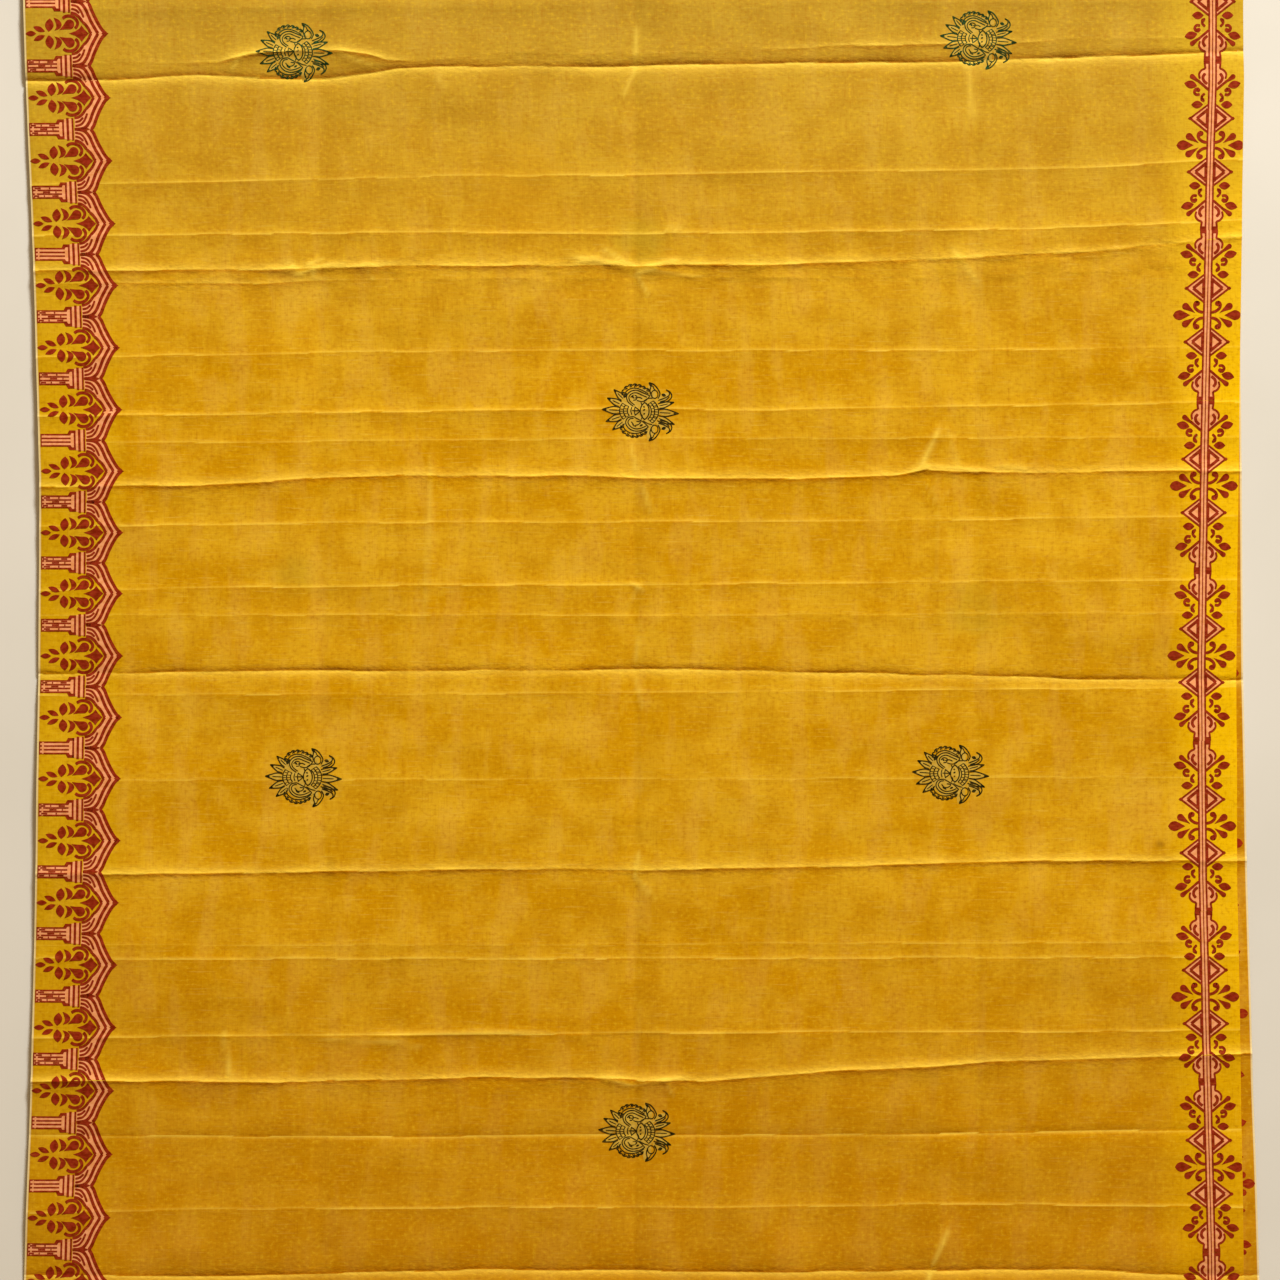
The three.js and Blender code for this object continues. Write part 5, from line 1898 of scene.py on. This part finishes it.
def build_hems():
    top = grid_piece("TopHemCloth", top_grid(), TOP_END, HEM_LINE, [front_cloth()], HEM_THICKNESS)
    second = grid_piece(
        "SecondHemCloth", second_grid(), SECOND_END, SECOND_HEM_LINE, [back_cloth()], HEM_THICKNESS)
    DONE["top_hem"] = stand_in(top, "top_hem")
    DONE["second_hem"] = stand_in(second, "second_hem")
    DONE["stitches"] = []
    for name, grid, hem_line, slot in [
        ("TopHemStitches", top_grid(), HEM_LINE, "printed_cloth"),
        ("SecondHemStitches", second_grid(), SECOND_HEM_LINE, "cloth_back"),
    ]:
        stitches = hem_stitches(name, grid, hem_line - HEM_STITCHING, inked(THREAD_DYE))
        DONE["stitches"].append(stitches)


# ---- Stage


def area_light(name, place, size, power, colour):
    """A rectangular light that points at the middle of the cloth."""
    data = bpy.data.lights.new(name, "AREA")
    data.shape = "RECTANGLE"
    data.size, data.size_y = size
    data.energy = power
    data.color = colour
    light = bpy.data.objects.new(name, data)
    light.location = place
    light.rotation_euler = (-Vector(place)).to_track_quat("-Z", "Y").to_euler()
    bpy.context.scene.collection.objects.link(light)


# In metres
VIEW_MIDDLE = (-0.0029, 0.0361)
VIEW_WIDTH = 1.248
SENSOR_WIDTH = 36
FLOOR_SIZE = 12
KEY_PLACE = (2.2, 7.2, 2.75)  # low beyond the outer fold, so that the creases across the cloth cast shade
KEY_SIZE = (1.6, 0.8)
KEY_COLOUR = (1.0, 1.0, 0.94)
FILL_PLACE = (0.3, -0.6, 3.4)
FILL_SIZE = (3.0, 3.0)
FILL_COLOUR = (1.0, 0.94, 0.85)
WORLD_COLOUR = (1.0, 0.68, 0.32, 1)


def build_stage(settings):
    bpy.ops.object.select_all(action="DESELECT")
    bpy.ops.mesh.primitive_plane_add(size=FLOOR_SIZE, location=(0, 0, 0))
    floor = bpy.context.active_object
    floor.name = "floor"
    floor.data.materials.append(once("PaintedFloorPale", painted_floor))
    area_light("key", KEY_PLACE, KEY_SIZE, settings.key_power, KEY_COLOUR)
    area_light("fill", FILL_PLACE, FILL_SIZE, settings.fill_power, FILL_COLOUR)
    world = bpy.data.worlds.new("studio")
    world.use_nodes = True
    background = world.node_tree.nodes["Background"]
    background.inputs[0].default_value = WORLD_COLOUR
    background.inputs[1].default_value = settings.world_light
    bpy.context.scene.world = world
    camera_data = bpy.data.cameras.new("camera")
    camera_data.sensor_width = SENSOR_WIDTH
    camera_data.lens = SENSOR_WIDTH * settings.camera_height / VIEW_WIDTH
    camera = bpy.data.objects.new("camera", camera_data)
    camera.location = (*VIEW_MIDDLE, settings.camera_height + LEVEL["top"] * METRE)
    bpy.context.scene.collection.objects.link(camera)
    bpy.context.scene.camera = camera
    bpy.context.scene.view_settings.view_transform = "Standard"


# ---- Add-on


def colour_choice(name, description, colour):
    return bpy.props.FloatVectorProperty(
        name=name, description=description, default=linear(colour), subtype="COLOR", min=0, max=1)


class SareeClothSettings(bpy.types.PropertyGroup):
    crease_scale: bpy.props.FloatProperty(
        name="Crease height", description="Times the height of every crease", default=1.0, min=0, max=2)
    ground: colour_choice("Ground", "Middle tone of the right side", GROUND)
    wrong_side: colour_choice("Wrong side", "Middle tone of the wrong side", WRONG_SIDE)
    border_ink: colour_choice("Border ink", "Main tone of the borders' outlines", MAROON.base)
    filling_ink: colour_choice("Filling ink", "Main tone of the borders' filling", PEACH.base)
    medallion_ink: colour_choice("Medallion ink", "Main tone of the medallions", DARK_GREEN.base)


class SareeStageSettings(bpy.types.PropertyGroup):
    camera_height: bpy.props.FloatProperty(
        name="Camera height", description="From the cloth to the camera", default=2.6, unit="LENGTH")
    key_power: bpy.props.FloatProperty(
        name="Key light", description="Power of the light beyond the outer fold", default=1280, unit="POWER")
    fill_power: bpy.props.FloatProperty(
        name="Fill light", description="Power of the light overhead", default=3, unit="POWER")
    world_light: bpy.props.FloatProperty(
        name="Surroundings", description="Brightness of the light from all round", default=0.34)


class SAREE_OT_layers(bpy.types.Operator):
    """Weave the top and second layers"""
    bl_idname = "saree.layers"
    bl_label = "Top and second layers"

    def execute(self, context):
        build_layers()
        return {"FINISHED"}


class SAREE_OT_hidden(bpy.types.Operator):
    """Build the third and bottom layers as one solid"""
    bl_idname = "saree.hidden"
    bl_label = "Hidden layers"

    def execute(self, context):
        build_hidden()
        return {"FINISHED"}


class SAREE_OT_folds(bpy.types.Operator):
    """Build the outer and inner folds"""
    bl_idname = "saree.folds"
    bl_label = "Folds"

    def execute(self, context):
        build_folds()
        return {"FINISHED"}


class SAREE_OT_hems(bpy.types.Operator):
    """Build both hems and their stitches"""
    bl_idname = "saree.hems"
    bl_label = "Hems"

    def execute(self, context):
        build_hems()
        return {"FINISHED"}


class SAREE_OT_borders(bpy.types.Operator):
    """Print the temple border and the floral border"""
    bl_idname = "saree.borders"
    bl_label = "Borders"

    def execute(self, context):
        DONE["prints"] = left_border() + right_border()
        DONE["bleed"] = bleed_through()
        return {"FINISHED"}


class SAREE_OT_medallions(bpy.types.Operator):
    """Print the medallions"""
    bl_idname = "saree.medallions"
    bl_label = "Medallions"

    def execute(self, context):
        DONE["prints"] += medallions()
        return {"FINISHED"}


class SAREE_OT_stage(bpy.types.Operator):
    """Set up the floor, the lights and the camera"""
    bl_idname = "saree.stage"
    bl_label = "Stage"

    def execute(self, context):
        build_stage(context.scene.saree_stage)
        return {"FINISHED"}


OPERATORS = (
    SAREE_OT_layers, SAREE_OT_hidden, SAREE_OT_folds, SAREE_OT_hems, SAREE_OT_borders, SAREE_OT_medallions,
    SAREE_OT_stage)


class SAREE_PT_panel(bpy.types.Panel):
    """Lists the steps that build the saree"""
    bl_idname = "SAREE_PT_panel"
    bl_label = "Saree"
    bl_space_type = "VIEW_3D"
    bl_region_type = "UI"
    bl_category = "Saree"

    def draw(self, context):
        for group in (context.scene.saree_cloth, context.scene.saree_stage):
            for name in group.__annotations__:
                self.layout.prop(group, name)
        for operator in OPERATORS:
            self.layout.operator(operator.bl_idname)


CLASSES = (SareeClothSettings, SareeStageSettings, *OPERATORS, SAREE_PT_panel)


def register():
    for cls in CLASSES:
        bpy.utils.register_class(cls)
    bpy.types.Scene.saree_cloth = bpy.props.PointerProperty(type=SareeClothSettings)
    bpy.types.Scene.saree_stage = bpy.props.PointerProperty(type=SareeStageSettings)


def unregister():
    del bpy.types.Scene.saree_stage
    del bpy.types.Scene.saree_cloth
    for cls in reversed(CLASSES):
        bpy.utils.unregister_class(cls)


def main():
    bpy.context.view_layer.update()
    register()
    for operator in OPERATORS:
        getattr(bpy.ops.saree, operator.bl_idname.split(".")[1])()


if __name__ == "__main__":
    main()
